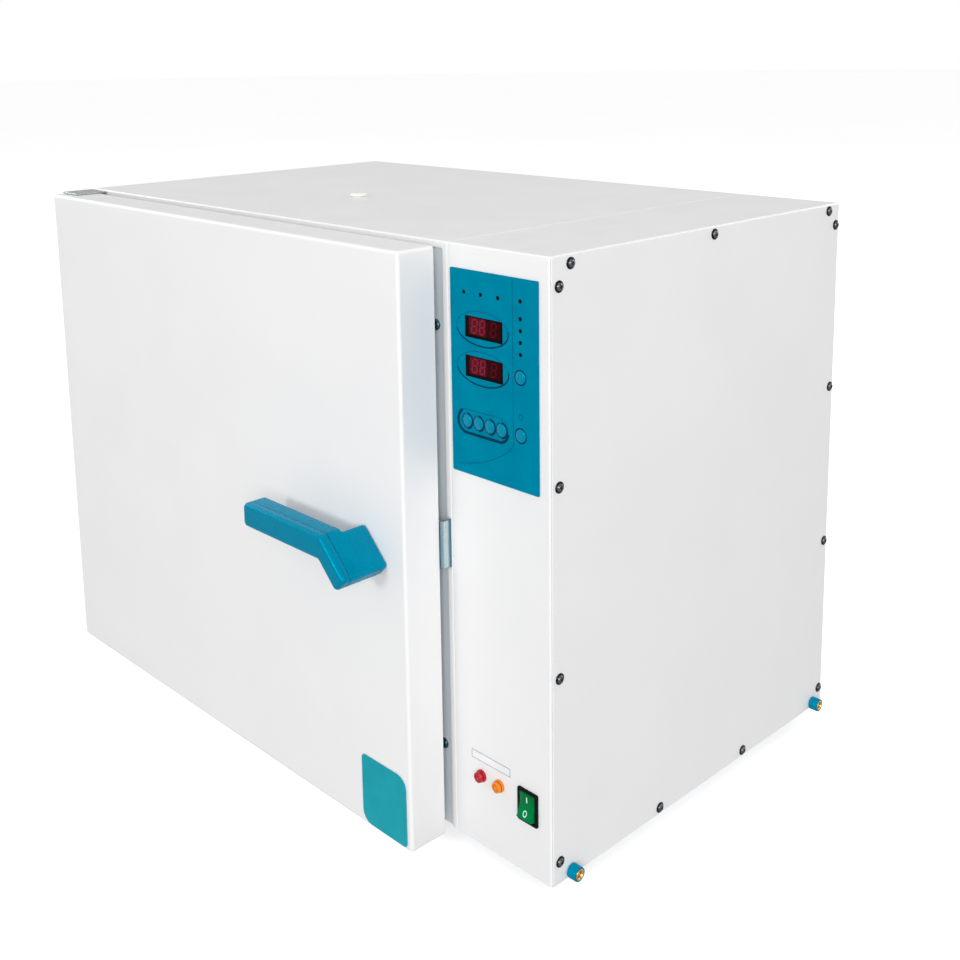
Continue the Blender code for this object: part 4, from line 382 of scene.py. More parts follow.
# The film where it is drawn up into ridges, painted darker along them as their shade
TEAL_RIDGE_PAINTED_SHADE = moulded_plastic(
    "teal_film_ridge_painted_shade", "#00647F", "#005E79", 0.42, 0.0005, 0.00001, Specular_IOR_Level=0.06
)
# Painted shade: a deep teal laid along the low sides of the ridges and the tray, and round the keys
TEAL_PAINTED_SHADE = moulded_plastic(
    "teal_film_painted_deep_shade", "#003C56", "#003650", 0.42, 0.0005, 0.00001, Specular_IOR_Level=0.06
)
# Deep teal film on the door's plate
DEEP_TEAL_FILM = moulded_plastic(
    "deep_teal_film", "#1E9FAD", "#1899A7", 0.36, 0.0005, 0.00001, Specular_IOR_Level=0.06
)
# Black glass-filled plastic of the bezel and the gland
BLACK_PLASTIC = moulded_plastic("black_moulded_plastic", "#0F1418", "#0B0F12", 0.36, Specular_IOR_Level=0.08)
# Black moulded rubber: soft and dull
BLACK_RUBBER = moulded_plastic("black_moulded_rubber", "#26282A", "#1E2021", 0.75, 0.001, 0.00004)
# Red-brown silicone of the door's seal
SILICONE = moulded_plastic("moulded_silicone", "#B4705C", "#A8654F", 0.55, 0.0012, 0.00003)
# Black frame of the display modules behind the filter
DISPLAY_FRAME = moulded_plastic("black_display_frame", "#120608", "#0C0405", 0.35, Specular_IOR_Level=0.05)
# Green solder resist over glass-fibre board
SOLDER_RESIST = moulded_plastic("green_solder_resist", "#246B45", "#1C5E3B", 0.35, 0.0009, 0.00002)

def display_plastic(name, left, right, roughness, gloss):
    """Dark red plastic of the displays: deep colour under gloss, with a painted reflection that makes its left part
    lighter and leaves the right darker.
    """
    material, tree, shader, place = new_finish(name, roughness, Specular_IOR_Level=gloss)
    across = add_node(tree, "ShaderNodeSeparateXYZ", links={0: place}).outputs["X"]
    low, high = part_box("upper_display")
    step = low.x + (high.x - low.x) * DISPLAY_PAINTED_REFLECTION_SHARE
    two_colours(tree, shader, across, left, right, step - DISPLAY_PAINTED_REFLECTION_BLUR, step + DISPLAY_PAINTED_REFLECTION_BLUR)
    spread(tree, shader, grain(tree, place, 0.004, 2.0), roughness - 0.03, roughness + 0.05)
    return material


# Filter over the unlit digits, and the segments behind it, a dull red only a little lighter; both carry the painted
# reflection on their left part
RED_FILTER = display_plastic("dark_red_filter", "#5C0B1A", "#300208", 0.16, 0.05)
DIM_SEGMENT = display_plastic("unlit_segment", "#7C2236", "#560614", 0.30, 0.05)
# Translucent green polycarbonate: light sinks in and comes back out near it
GREEN_LENS = moulded_plastic(
    "green_polycarbonate", "#008244", "#006A34", 0.22, 0.004, 0.000004,
    Subsurface_Weight=0.15, Subsurface_Scale=0.002, Specular_IOR_Level=0.15, Specular_Tint=linear("#40E090"),
)
# Translucent red lens of the left lamp
RED_LENS = moulded_plastic(
    "red_polycarbonate", "#C80822", "#B8041C", 0.10, 0.004, 0.000002,
    Subsurface_Weight=0.05, Subsurface_Scale=0.001, Specular_IOR_Level=0.5,
)
# Translucent amber lens of the right lamp
AMBER_LENS = moulded_plastic(
    "amber_polycarbonate", "#EE8A06", "#E47E02", 0.10, 0.004, 0.000002,
    Subsurface_Weight=0.05, Subsurface_Scale=0.001, Specular_IOR_Level=0.5,
)
# The same lenses painted darker, as painted shade in their grooves and on a ring of their noses
RED_LENS_PAINTED_SHADE = moulded_plastic("red_polycarbonate_painted_shade", "#960B1E", "#8C081A", 0.25, 0.004, 0.000002)
AMBER_LENS_PAINTED_SHADE = moulded_plastic("amber_polycarbonate_painted_shade", "#CC6A06", "#C06004", 0.25, 0.004, 0.000002)
# White ink of the rocker's marks
WHITE_INK = moulded_plastic("white_ink", "#CFF5E6", "#BDEBDA", 0.45)
# White laminate of the small strip, and its thin dark frame line
WHITE_LAMINATE = moulded_plastic("white_laminate", "#F2F4F6", "#EAEDF0", 0.30)
DARK_INK = moulded_plastic("dark_ink", "#5B6470", "#525B66", 0.5)
# Smoked windows of the indicator lights
DARK_LENS = moulded_plastic("smoked_indicator", "#060D14", "#040A10", 0.30, Specular_IOR_Level=0.1)


def make_galvanised():
    """Hot-dip galvanised sheet: flat crystals of slightly different greys."""
    material, tree, shader, place = new_finish("galvanised_sheet", 0.42, 0.9)
    cells = add_node(tree, "ShaderNodeTexVoronoi", values={"Scale": 1 / 0.009}, links={"Vector": place})
    shade = add_node(tree, "ShaderNodeSeparateColor", links={0: cells.outputs["Color"]}).outputs[0]
    two_colours(tree, shader, shade, "#B9BFC3", "#A3AAAF", 0.0, 1.0)
    spread(tree, shader, shade, 0.36, 0.50)
    bump(tree, shader, grain(tree, place, 0.002), 0.00002, 0.4)
    return material


def make_zinc(name, first, second, roughness):
    """Blue-passivated zinc plate: a bluish metal with faint cloudy patches."""
    material, tree, shader, place = new_finish(name, roughness, 0.95)
    two_colours(tree, shader, grain(tree, place, 0.009, 3.0, distortion=0.6), first, second)
    spread(tree, shader, grain(tree, place, 0.004, 3.0), roughness - 0.06, roughness + 0.10)
    bump(tree, shader, grain(tree, place, 0.0008), 0.00002, 0.5)
    return material


def make_dark_steel():
    """Steel that has been hot: dark grey with straw and blue patches."""
    material, tree, shader, place = new_finish("heat_darkened_steel", 0.42, 0.85)
    two_colours(tree, shader, grain(tree, place, 0.015, 4.0, distortion=0.8), "#4A4746", "#5A4E42")
    spread(tree, shader, grain(tree, place, 0.006, 3.0), 0.36, 0.55)
    bump(tree, shader, grain(tree, place, 0.0009), 0.00003, 0.5)
    return material


def make_mineral_wool():
    """Mineral wool batt: matted yellow-grey fibres with no gloss."""
    material, tree, shader, place = new_finish("mineral_wool", 0.95)
    fibres = grain(tree, place, 0.003, 6.0, (1, 4, 1), 2.5)
    two_colours(tree, shader, fibres, "#C9BC8C", "#A99A68")
    bump(tree, shader, fibres, 0.0012, 0.9)
    return material


def make_brass():
    """Turned brass: warm, with fine rings left by the tool."""
    material, tree, shader, place = new_finish("turned_brass", 0.28, 1.0)
    rings = grain(tree, place, 0.0004, 1.0, (1, 20, 20))
    two_colours(tree, shader, grain(tree, place, 0.004), "#EBCB98", "#DDB77E")
    spread(tree, shader, rings, 0.22, 0.38)
    bump(tree, shader, rings, 0.00002, 0.6)
    return material


def make_iridescent_zinc():
    """Zinc plate whose thin film shows pale straw in an upright band, and blue on both sides of it."""
    material, tree, shader, place = new_finish("iridescent_zinc_plate", 0.30, 0.6)
    depth = add_node(tree, "ShaderNodeSeparateXYZ", links={0: place}).outputs["Y"]
    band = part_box("latch_keeper")[0].y + KEEPER_BAND_BEHIND
    offset = add_node(tree, "ShaderNodeMath", {"operation": "SUBTRACT"}, {1: band}, {0: depth})
    distance = add_node(tree, "ShaderNodeMath", {"operation": "ABSOLUTE"}, links={0: offset.outputs[0]})
    cloud = grain(tree, place, 0.006, 3.0, (1, 1, 3), 0.6)
    ragged = add_node(
        tree, "ShaderNodeMath", {"operation": "MULTIPLY_ADD"}, {1: KEEPER_BAND_RAG}, {0: cloud, 2: distance.outputs[0]}
    )
    low = KEEPER_BAND_HALF + KEEPER_BAND_RAG / 2
    two_colours(tree, shader, ragged.outputs[0], "#C2D2D4", "#6B94AA", low - 0.0008, low + 0.0010)
    spread(tree, shader, cloud, 0.24, 0.40)
    bump(tree, shader, grain(tree, place, 0.0008), 0.00002, 0.4)
    return material


GALVANISED = make_galvanised()
IRIDESCENT_ZINC = make_iridescent_zinc()
ZINC_PLATE = make_zinc("blue_zinc_plate", "#A9C4D4", "#7FA6BF", 0.30)
SILVER_ZINC = make_zinc("bright_zinc_plate", "#D5DADD", "#BFC8CE", 0.28)
BLUE_STEEL = make_zinc("blue_steel_screw", "#4E6A7E", "#35505F", 0.26)
BLACK_ZINC = make_zinc("black_zinc_plate", "#2E3338", "#22262A", 0.34)
STEEL_SCREW = make_zinc("dull_steel_screw", "#7C8084", "#5C6064", 0.30)
DARK_STEEL = make_dark_steel()
MINERAL_WOOL = make_mineral_wool()
BRASS = make_brass()

FINISHES = {
    "white_paint": WHITE_COAT,
    "white_plastic": WHITE_PLASTIC,
    "grey_steel": GREY_COAT,
    "galvanised_steel": GALVANISED,
    "stainless_steel": STAINLESS,
    "dark_steel": DARK_STEEL,
    "bright_steel": BRIGHT_STEEL,
    "aluminium": ALUMINIUM,
    "zinc_plate": ZINC_PLATE,
    "brass": BRASS,
    "mineral_wool": MINERAL_WOOL,
    "silicone": SILICONE,
    "rubber": BLACK_RUBBER,
    "teal_plastic": TEAL_PLASTIC,
    "deep_teal": DEEP_TEAL_FILM,
    "display_red": RED_FILTER,
    "black_plastic": BLACK_PLASTIC,
    "green_lens": GREEN_LENS,
    "red_lens": RED_LENS,
    "amber_lens": AMBER_LENS,
    "board_green": SOLDER_RESIST,
}


# Nodes whose finish differs from the rest of their slot
NODE_FINISHES = {
    "membrane_panel": TEAL_FILM,
    "upper_display": DISPLAY_FRAME,
    "lower_display": DISPLAY_FRAME,
    "latch_keeper": IRIDESCENT_ZINC,
    "upper_hinge_bracket": SILVER_ZINC,
    "lower_hinge_bracket": SILVER_ZINC,
}


def dress_cad_nodes():
    """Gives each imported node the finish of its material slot."""
    for row in frame["record"]["subparts"]:
        node = frame["nodes"][row["node"]]
        finish = NODE_FINISHES.get(row["node"], FINISHES[row["material_slot"]])
        if not node.material_slots:
            node.data.materials.append(finish)
        for slot in node.material_slots:
            slot.material = finish


# Shapes


def new_piece(name, mesh, material, body, replaced=()):
    """Puts a finished mesh in the scene and ties it to its body."""
    piece = bpy.data.objects.new(name, mesh)
    bpy.context.scene.collection.objects.link(piece)
    if not mesh.materials:
        mesh.materials.append(material)
    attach(piece, body)
    if replaced:
        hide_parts(*replaced)
    return piece


def finished_mesh(name, build, smooth_angle=35):
    mesh = bpy.data.meshes.new(name)
    build.to_mesh(mesh)
    build.free()
    mesh.shade_smooth()
    mesh.set_sharp_from_angle(angle=math.radians(smooth_angle))
    return mesh


def turned_build(profile, steps):
    """A turned shape about +Z. The profile is (radius, height) pairs from the top, down its outer side."""
    build = bmesh.new()
    rings = []
    for radius, height in profile:
        if radius == 0:
            rings.append([build.verts.new((0, 0, height))])
            continue
        ring = []
        for step in range(steps):
            angle = 2 * math.pi * step / steps
            ring.append(build.verts.new((radius * math.cos(angle), radius * math.sin(angle), height)))
        rings.append(ring)
    for upper, lower in zip(rings, rings[1:]):
        for step in range(steps):
            after = (step + 1) % steps
            if len(upper) == 1:
                build.faces.new((upper[0], lower[step], lower[after]))
            elif len(lower) == 1:
                build.faces.new((upper[step], lower[0], upper[after]))
            else:
                build.faces.new((upper[step], lower[step], lower[after], upper[after]))
    return build


def rounded_outline(corners, steps=8):
    """The points of a closed outline. Each corner is its place and its fillet radius."""
    outline = []
    for index, (corner, radius) in enumerate(corners):
        corner = Vector(corner)
        back = (Vector(corners[index - 1][0]) - corner).normalized()
        ahead = (Vector(corners[(index + 1) % len(corners)][0]) - corner).normalized()
        half_angle = back.angle(ahead) / 2
        run = radius / math.tan(half_angle)
        centre = corner + (back + ahead).normalized() * radius / math.sin(half_angle)
        start = corner + back * run - centre
        end = corner + ahead * run - centre
        sweep = start.angle_signed(end)
        for step in range(steps + 1):
            turn = Matrix.Rotation(-sweep * step / steps, 2)
            outline.append(centre + turn @ start)
    return outline


def rounded_rectangle(half_width, half_height, radius, steps=6):
    corners = [
        ((-half_width, -half_height), radius), ((half_width, -half_height), radius),
        ((half_width, half_height), radius), ((-half_width, half_height), radius),
    ]
    return rounded_outline(corners, steps)


def inset_outline(outline, inset):
    """The outline moved inwards by the same distance everywhere."""
    area = sum(
        first.x * second.y - second.x * first.y for first, second in zip(outline, outline[1:] + outline[:1])
    )
    side = 1 if area > 0 else -1
    moved = []
    for index, point in enumerate(outline):
        run = (outline[(index + 1) % len(outline)] - outline[index - 1]).normalized()
        moved.append(point + Vector((-run.y, run.x)) * inset * side)
    return moved


def loft_build(rings):
    """A closed shape through rings with the same number of points, each a list of (x, y, z) places."""
    build = bmesh.new()
    rows = [[build.verts.new(point) for point in ring] for ring in rings]
    for first, second in zip(rows, rows[1:]):
        for index in range(len(first)):
            after = (index + 1) % len(first)
            build.faces.new((first[index], first[after], second[after], second[index]))
    build.faces.new(rows[0])
    build.faces.new(rows[-1])
    bmesh.ops.recalc_face_normals(build, faces=build.faces)
    return build


def ring_build(rings):
    """A closed ring-shaped solid: the last of its rows of places joins the first."""
    build = bmesh.new()
    rows = [[build.verts.new(point) for point in ring] for ring in rings]
    for first, second in zip(rows, rows[1:] + rows[:1]):
        for index in range(len(first)):
            after = (index + 1) % len(first)
            build.faces.new((first[index], first[after], second[after], second[index]))
    bmesh.ops.recalc_face_normals(build, faces=build.faces)
    return build


def upright_ring(outline, depth, centre=(0, 0)):
    """An outline of (across, up) points set at one depth of the shared frame."""
    return [Vector((centre[0] + point.x, depth, centre[1] + point.y)) for point in outline]


def rim_rounding(width, depth, steps=8):
    """Insets and depths round a rim, from its side to its face."""
    return [
        (width * (1 - math.cos(math.pi / 2 * step / steps)), depth * math.sin(math.pi / 2 * step / steps))
        for step in range(steps + 1)
    ]


def softened(piece_name, mesh, width, segments=3, angle=40, cutter=None):
    """A plain mesh with its sharp edges rounded, after an optional cut."""
    piece = bpy.data.objects.new(piece_name, mesh)
    bpy.context.scene.collection.objects.link(piece)
    helper = None
    if cutter:
        helper = bpy.data.objects.new(piece_name + "_cut", cutter)
        bpy.context.scene.collection.objects.link(helper)
        cut = piece.modifiers.new("cut", "BOOLEAN")
        cut.operation = "DIFFERENCE"
        cut.object = helper
    bevel = piece.modifiers.new("edges", "BEVEL")
    bevel.width = width
    bevel.segments = segments
    bevel.limit_method = "ANGLE"
    bevel.angle_limit = math.radians(angle)
    bevel.harden_normals = False
    made = plain_mesh(piece)
    made.name = piece_name
    bpy.data.objects.remove(piece)
    if helper:
        bpy.data.objects.remove(helper)
    made.materials.clear()
    made.shade_smooth()
    made.set_sharp_from_angle(angle=math.radians(50))
    return made


def plain_mesh(piece):
    """The evaluated mesh of an object, free of its modifiers and its own place."""
    graph = bpy.context.evaluated_depsgraph_get()
    return bpy.data.meshes.new_from_object(piece.evaluated_get(graph))


def scatter(name, stamp, places, turns, material, smooth_angle=35):
    """Geometry Nodes set a stamp mesh at each place, turned by that place's angles."""
    holder_mesh = bpy.data.meshes.new(name + "_places")
    holder_mesh.from_pydata([tuple(place) for place in places], [], [])
    turn = holder_mesh.attributes.new("turn", "FLOAT_VECTOR", "POINT")
    for row, angles in zip(turn.data, turns):
        row.vector = angles
    holder = bpy.data.objects.new(name + "_places", holder_mesh)
    stamp_object = bpy.data.objects.new(name + "_stamp", stamp)
    for helper in (holder, stamp_object):
        bpy.context.scene.collection.objects.link(helper)
    tree = bpy.data.node_groups.new(name + "_pattern", "GeometryNodeTree")
    tree.interface.new_socket("Places", in_out="INPUT", socket_type="NodeSocketGeometry")
    stamp_socket = tree.interface.new_socket("Stamp", in_out="INPUT", socket_type="NodeSocketObject")
    finish_socket = tree.interface.new_socket("Finish", in_out="INPUT", socket_type="NodeSocketMaterial")
    tree.interface.new_socket("Pieces", in_out="OUTPUT", socket_type="NodeSocketGeometry")
    given = add_node(tree, "NodeGroupInput")
    info = add_node(tree, "GeometryNodeObjectInfo", links={"Object": given.outputs["Stamp"]})
    angles = add_node(
        tree, "GeometryNodeInputNamedAttribute", settings={"data_type": "FLOAT_VECTOR"}, values={"Name": "turn"}
    )
    rotation = add_node(tree, "FunctionNodeEulerToRotation", links={0: angles.outputs["Attribute"]})
    copies = add_node(
        tree,
        "GeometryNodeInstanceOnPoints",
        links={
            "Points": given.outputs["Places"],
            "Instance": info.outputs["Geometry"],
            "Rotation": rotation.outputs[0],
        },
    )
    real = add_node(tree, "GeometryNodeRealizeInstances", links={"Geometry": copies.outputs["Instances"]})
    finished = add_node(
        tree,
        "GeometryNodeSetMaterial",
        links={"Geometry": real.outputs["Geometry"], "Material": given.outputs["Finish"]},
    )
    add_node(tree, "NodeGroupOutput", links={0: finished.outputs["Geometry"]})
    modifier = holder.modifiers.new("pattern", "NODES")
    modifier.node_group = tree
    modifier[stamp_socket.identifier] = stamp_object
    modifier[finish_socket.identifier] = material
    mesh = plain_mesh(holder)
    mesh.name = name
    holder.modifiers.clear()
    for helper in (holder, stamp_object):
        bpy.data.objects.remove(helper)
    mesh.shade_smooth()
    mesh.set_sharp_from_angle(angle=math.radians(smooth_angle))
    return mesh


def sweep(name, paths, radius, flat_share, material):
    """Geometry Nodes run a low round ridge along paths in the plane of the panel's face."""
    points = []
    edges = []
    for path, closed in paths:
        first = len(points)
        points.extend(tuple(point) for point in path)
        last = len(points) - 1
        edges.extend((index, index + 1) for index in range(first, last))
        if closed:
            edges.append((last, first))
    holder_mesh = bpy.data.meshes.new(name + "_paths")
    holder_mesh.from_pydata(points, edges, [])
    holder = bpy.data.objects.new(name + "_paths", holder_mesh)
    bpy.context.scene.collection.objects.link(holder)
    tree = bpy.data.node_groups.new(name + "_pattern", "GeometryNodeTree")
    tree.interface.new_socket("Paths", in_out="INPUT", socket_type="NodeSocketGeometry")
    radius_socket = tree.interface.new_socket("Radius", in_out="INPUT", socket_type="NodeSocketFloat")
    finish_socket = tree.interface.new_socket("Finish", in_out="INPUT", socket_type="NodeSocketMaterial")
    tree.interface.new_socket("Ridge", in_out="OUTPUT", socket_type="NodeSocketGeometry")
    given = add_node(tree, "NodeGroupInput")
    curve = add_node(tree, "GeometryNodeMeshToCurve", links={"Mesh": given.outputs["Paths"]})
    profile = add_node(
        tree, "GeometryNodeCurvePrimitiveCircle", values={"Resolution": 10}, links={"Radius": given.outputs["Radius"]}
    )
    ridge = add_node(
        tree,
        "GeometryNodeCurveToMesh",
        values={"Fill Caps": True},
        links={"Curve": curve.outputs["Curve"], "Profile Curve": profile.outputs["Curve"]},
    )
    real = add_node(tree, "GeometryNodeRealizeInstances", links={"Geometry": ridge.outputs["Mesh"]})
    finished = add_node(
        tree,
        "GeometryNodeSetMaterial",
        links={"Geometry": real.outputs["Geometry"], "Material": given.outputs["Finish"]},
    )
    add_node(tree, "NodeGroupOutput", links={0: finished.outputs["Geometry"]})
    modifier = holder.modifiers.new("pattern", "NODES")
    modifier.node_group = tree
    modifier[radius_socket.identifier] = radius
    modifier[finish_socket.identifier] = material
    mesh = plain_mesh(holder)
    mesh.name = name
    holder.modifiers.clear()
    bpy.data.objects.remove(holder)
    centre = sum((Vector(point) for point in points), Vector()) / len(points)
    flatten = Matrix.Translation(centre) @ Matrix.Diagonal((1, flat_share, 1, 1)) @ Matrix.Translation(-centre)
    mesh.transform(flatten)
    mesh.shade_smooth()
    return mesh


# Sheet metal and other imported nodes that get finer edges


def refined(name, edge, segments=2):
    """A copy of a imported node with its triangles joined, its edges broken and its flats truly flat."""
    node = frame["nodes"][name]
    build = bmesh.new()
    build.from_mesh(node.data)
    bmesh.ops.remove_doubles(build, verts=build.verts, dist=MERGE)
    bmesh.ops.dissolve_limit(build, angle_limit=math.radians(0.5), verts=build.verts, edges=build.edges)
    mesh = bpy.data.meshes.new(name + "_refined")
    build.to_mesh(mesh)
    build.free()
    mesh.shade_smooth()
    piece = bpy.data.objects.new(name + "_refined", mesh)
    bpy.context.scene.collection.objects.link(piece)
    bevel = piece.modifiers.new("edges", "BEVEL")
    bevel.width = edge
    bevel.segments = segments
    bevel.limit_method = "ANGLE"
    bevel.angle_limit = math.radians(50)
    bevel.use_clamp_overlap = True
    normals = piece.modifiers.new("flats", "WEIGHTED_NORMAL")
    normals.keep_sharp = True
    made = plain_mesh(piece)
    made.name = name + "_refined"
    bpy.data.objects.remove(piece)
    made.materials.clear()
    return made


def refine_nodes():
    slots = {row["node"]: row["material_slot"] for row in frame["record"]["subparts"]}
    for body, name, edge in REFINED_NODES:
        finish = NODE_FINISHES.get(name, FINISHES[slots[name]])
        new_piece(name + "_refined", refined(name, edge), finish, body, [name])


# Fasteners


def screw_mesh(radius, height):
    """A pan-head screw that faces +Z, with a cross recess."""
    flat = radius * 0.55
    profile = [
        (0, height),
        (flat, height * 0.97),
        (radius * 0.82, height * 0.80),
        (radius * 0.96, height * 0.48),
        (radius, height * 0.20),
        (radius, -height * 0.2),
        (0, -height * 0.2),
    ]
    head = finished_mesh("screw_head", turned_build(profile, 24))
    body = bpy.data.objects.new("screw_head", head)
    bpy.context.scene.collection.objects.link(body)
    blades = bmesh.new()
    for turn in (0, 90):
        points = bmesh.ops.create_cube(blades, size=1)["verts"]
        bmesh.ops.scale(blades, vec=(radius * 1.05, radius * 0.22, height * 0.9), verts=points)
        bmesh.ops.rotate(blades, verts=points, matrix=Matrix.Rotation(math.radians(turn), 3, "Z"))
        bmesh.ops.translate(blades, vec=(0, 0, height * 0.85), verts=points)
    cross = bpy.data.objects.new("screw_cross", finished_mesh("screw_cross", blades))
    bpy.context.scene.collection.objects.link(cross)
    cut = body.modifiers.new("cross", "BOOLEAN")
    cut.operation = "DIFFERENCE"
    cut.object = cross
    cut.use_self = True
    mesh = plain_mesh(body)
    bpy.data.objects.remove(cross)
    bpy.data.objects.remove(body)
    mesh.materials.clear()
    return mesh


def make_screws():
    facing_right = math.radians(90)
    places = []
    turns = []
    for number, (y, z) in enumerate(SIDE_SCREW_PLACES):
        places.append(on_cabinet(0, y, z))
        turns.append((math.radians(37 * number), facing_right, 0))
    stamp = screw_mesh(SIDE_SCREW_RADIUS, SIDE_SCREW_HEIGHT)
    turns = [Matrix.Rotation(facing_right, 3, "Y") @ Matrix.Rotation(turn[0], 3, "Z") for turn in turns]
    turns = [tuple(turn.to_euler()) for turn in turns]
    mesh = scatter("side_screws", stamp, places, turns, STEEL_SCREW)
    new_piece("side_screws", mesh, STEEL_SCREW, "cabinet")
    washer = [
        (0, WASHER_SHEET), (SIDE_SCREW_RADIUS, WASHER_SHEET), (WASHER_RADIUS - WASHER_EDGE, WASHER_SHEET),
        (WASHER_RADIUS, WASHER_SHEET - WASHER_EDGE), (WASHER_RADIUS, 0), (0, 0),
    ]
    stamp = finished_mesh("screw_washer", turned_build(washer, 28))
    mesh = scatter("screw_washers", stamp, places, turns, BLACK_ZINC)
    new_piece("screw_washers", mesh, BLACK_ZINC, "cabinet")
    rear_places = []
    rear_turns = []
    for number, (x, z) in enumerate(REAR_SCREW_PLACES):
        rear_places.append(Vector((CORNER.x + x, REAR_FACE, CORNER.z + z)))
        turn = Matrix.Rotation(math.radians(-90), 3, "X") @ Matrix.Rotation(math.radians(37 * number), 3, "Z")
        rear_turns.append(tuple(turn.to_euler()))
    head = screw_mesh(SIDE_SCREW_RADIUS, SIDE_SCREW_HEIGHT)
    mesh = scatter("rear_screws", head, rear_places, rear_turns, STEEL_SCREW)
    new_piece("rear_screws", mesh, STEEL_SCREW, "cabinet")
    mesh = scatter("rear_washers", finished_mesh("rear_washer", turned_build(washer, 28)), rear_places, rear_turns, BLACK_ZINC)
    new_piece("rear_washers", mesh, BLACK_ZINC, "cabinet")
    places = []
    turns = []
    for number, (x, z) in enumerate(STRIP_SCREW_PLACES):
        places.append(Vector((CORNER.x + x, FRAME_FRONT, CORNER.z + z)))
        turn = Matrix.Rotation(math.radians(90), 3, "X") @ Matrix.Rotation(math.radians(25 + 50 * number), 3, "Z")
        turns.append(tuple(turn.to_euler()))
    stamp = screw_mesh(STRIP_SCREW_RADIUS, STRIP_SCREW_HEIGHT)
    mesh = scatter("strip_screws", stamp, places, turns, BLUE_STEEL)
    new_piece("strip_screws", mesh, BLUE_STEEL, "cabinet")


# Lever handle


def handle_outline():
    """Arm to the left, bend, and leg down to the right."""
    along = Vector((math.cos(LEG_SLANT), -math.sin(LEG_SLANT)))
    across = Vector((math.sin(LEG_SLANT), math.cos(LEG_SLANT))) * LEG_WIDTH / 2
    end_upper = along * LEG_END + across
    end_lower = along * LEG_END - across
    bend_upper = end_upper + along * ((ARM_TOP - end_upper.y) / along.y)
    bend_lower = end_lower + along * ((ARM_BOTTOM - end_lower.y) / along.y)
    corners = (
        (-ARM_REACH, ARM_BOTTOM), bend_lower, end_lower, end_upper, bend_upper, (-ARM_REACH, ARM_TOP),
    )
    return rounded_outline([(corner, HANDLE_CORNER) for corner in corners])


def handle_pivot():
    low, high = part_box("handle_cover")
    return Vector((low.x + ARM_REACH, 0, high.z - ARM_TOP))


def make_handle():
    """The lever's front cover with its rounded rim, and the shell that carries it back to the door."""
    outline = handle_outline()
    pivot = handle_pivot()
    centre = (pivot.x, pivot.z)
    steps = [(HANDLE_SEAM_EDGE, HANDLE_SEAM), (0, HANDLE_SEAM - HANDLE_SEAM_EDGE)]
    for inset, rise in rim_rounding(HANDLE_EDGE, HANDLE_EDGE):
        steps.append((inset, HANDLE_FRONT + HANDLE_EDGE - rise))
    rings = [upright_ring(inset_outline(outline, inset), depth, centre) for inset, depth in steps]
    mesh = finished_mesh("handle_cover_fine", loft_build(rings), 50)
    new_piece("handle_cover_fine", mesh, TEAL_PLASTIC, "handle", ["handle_cover"])

    steps = [(HANDLE_SEAM_EDGE, HANDLE_SHELL_FRONT), (0, HANDLE_SHELL_FRONT + HANDLE_SEAM_EDGE), (0, HANDLE_FOOT)]
    rings = [upright_ring(inset_outline(outline, inset), depth, centre) for inset, depth in steps]
    shell = finished_mesh("handle_shell_fine", loft_build(rings), 50)
    arm_back = HANDLE_FRONT + ARM_BACK_FROM_FRONT
    half_length = (LEG_END + HANDLE_BLOCK_SPARE + LEG_START) / 2
    half_width = LEG_WIDTH / 2 + HANDLE_BLOCK_SPARE
    slide = Vector((half_length - LEG_START, 0))
    turn = Matrix.Rotation(-LEG_SLANT, 2)
    block = [
        turn @ (point + slide) for point in rounded_rectangle(half_length, half_width, HANDLE_BLOCK_EDGE)
    ]
    rows = []
    for step in range(7):
        angle = math.pi / 2 * step / 6
        grown = HANDLE_BLOCK_FILLET * (1 - math.sin(angle))
        depth = arm_back + HANDLE_BLOCK_FILLET * (1 - math.cos(angle))
        rows.append(upright_ring(inset_outline(block, -grown), depth, centre))
    for inset, rise in rim_rounding(HANDLE_FOOT_EDGE, HANDLE_FOOT_EDGE, 6):
        depth = HANDLE_FOOT - HANDLE_FOOT_EDGE + rise
        rows.append(upright_ring(inset_outline(block, inset), depth, centre))
    beyond = HANDLE_FOOT + HANDLE_BLOCK_FILLET
    rows.append(upright_ring(inset_outline(block, HANDLE_FOOT_EDGE), beyond, centre))
    wide = [(point - turn @ slide) * (ARM_REACH / half_width) + turn @ slide for point in block]
    rows.append(upright_ring(wide, beyond, centre))
    rows.append(upright_ring(wide, arm_back, centre))
    clear = ring_build(rows)
    mesh = softened("handle_shell_fine", shell, HANDLE_SHELL_EDGE, cutter=finished_mesh("finger_space", clear))
    new_piece("handle_shell_fine", mesh, TEAL_PLASTIC, "handle", ["handle_shell"])


# Buttons, lamps and rocker switch


def set_upright(build, place):
    """Turns a shape that was turned about +Z so that it faces the front, and puts it at its place."""
    bmesh.ops.rotate(build, verts=build.verts, matrix=Matrix.Rotation(math.radians(90), 3, "X"))
    bmesh.ops.translate(build, verts=build.verts, vec=place)


def middle_of(name):
    low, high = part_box(name)
    return (low + high) / 2


def make_buttons():
    """Domed key caps."""
    for name in KEYS:
        low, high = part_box(name)
        centre = (low + high) / 2
        skirt = (high.x - low.x) / 2
        radius = skirt * KEY_CAP_SHARE
        proud = MEMBRANE_LOW.y - low.y
        profile = [
            (0, proud), (radius * 0.30, proud * 0.98), (radius * 0.50, proud * 0.92), (radius * 0.66, proud * 0.83),
            (radius * 0.79, proud * 0.69), (radius * 0.89, proud * 0.51), (radius * 0.96, proud * 0.29), (radius, 0),
            (radius * 1.01, -0.0002), (skirt, -0.0003), (skirt, -0.0022), (0, -0.0022),
        ]
        build = turned_build(profile, 40)
        set_upright(build, (centre.x, MEMBRANE_LOW.y, centre.z))
        mesh = finished_mesh(name + "_cap", build, 50)
        new_piece(name + "_cap", mesh, TEAL_KEY, name, [name])


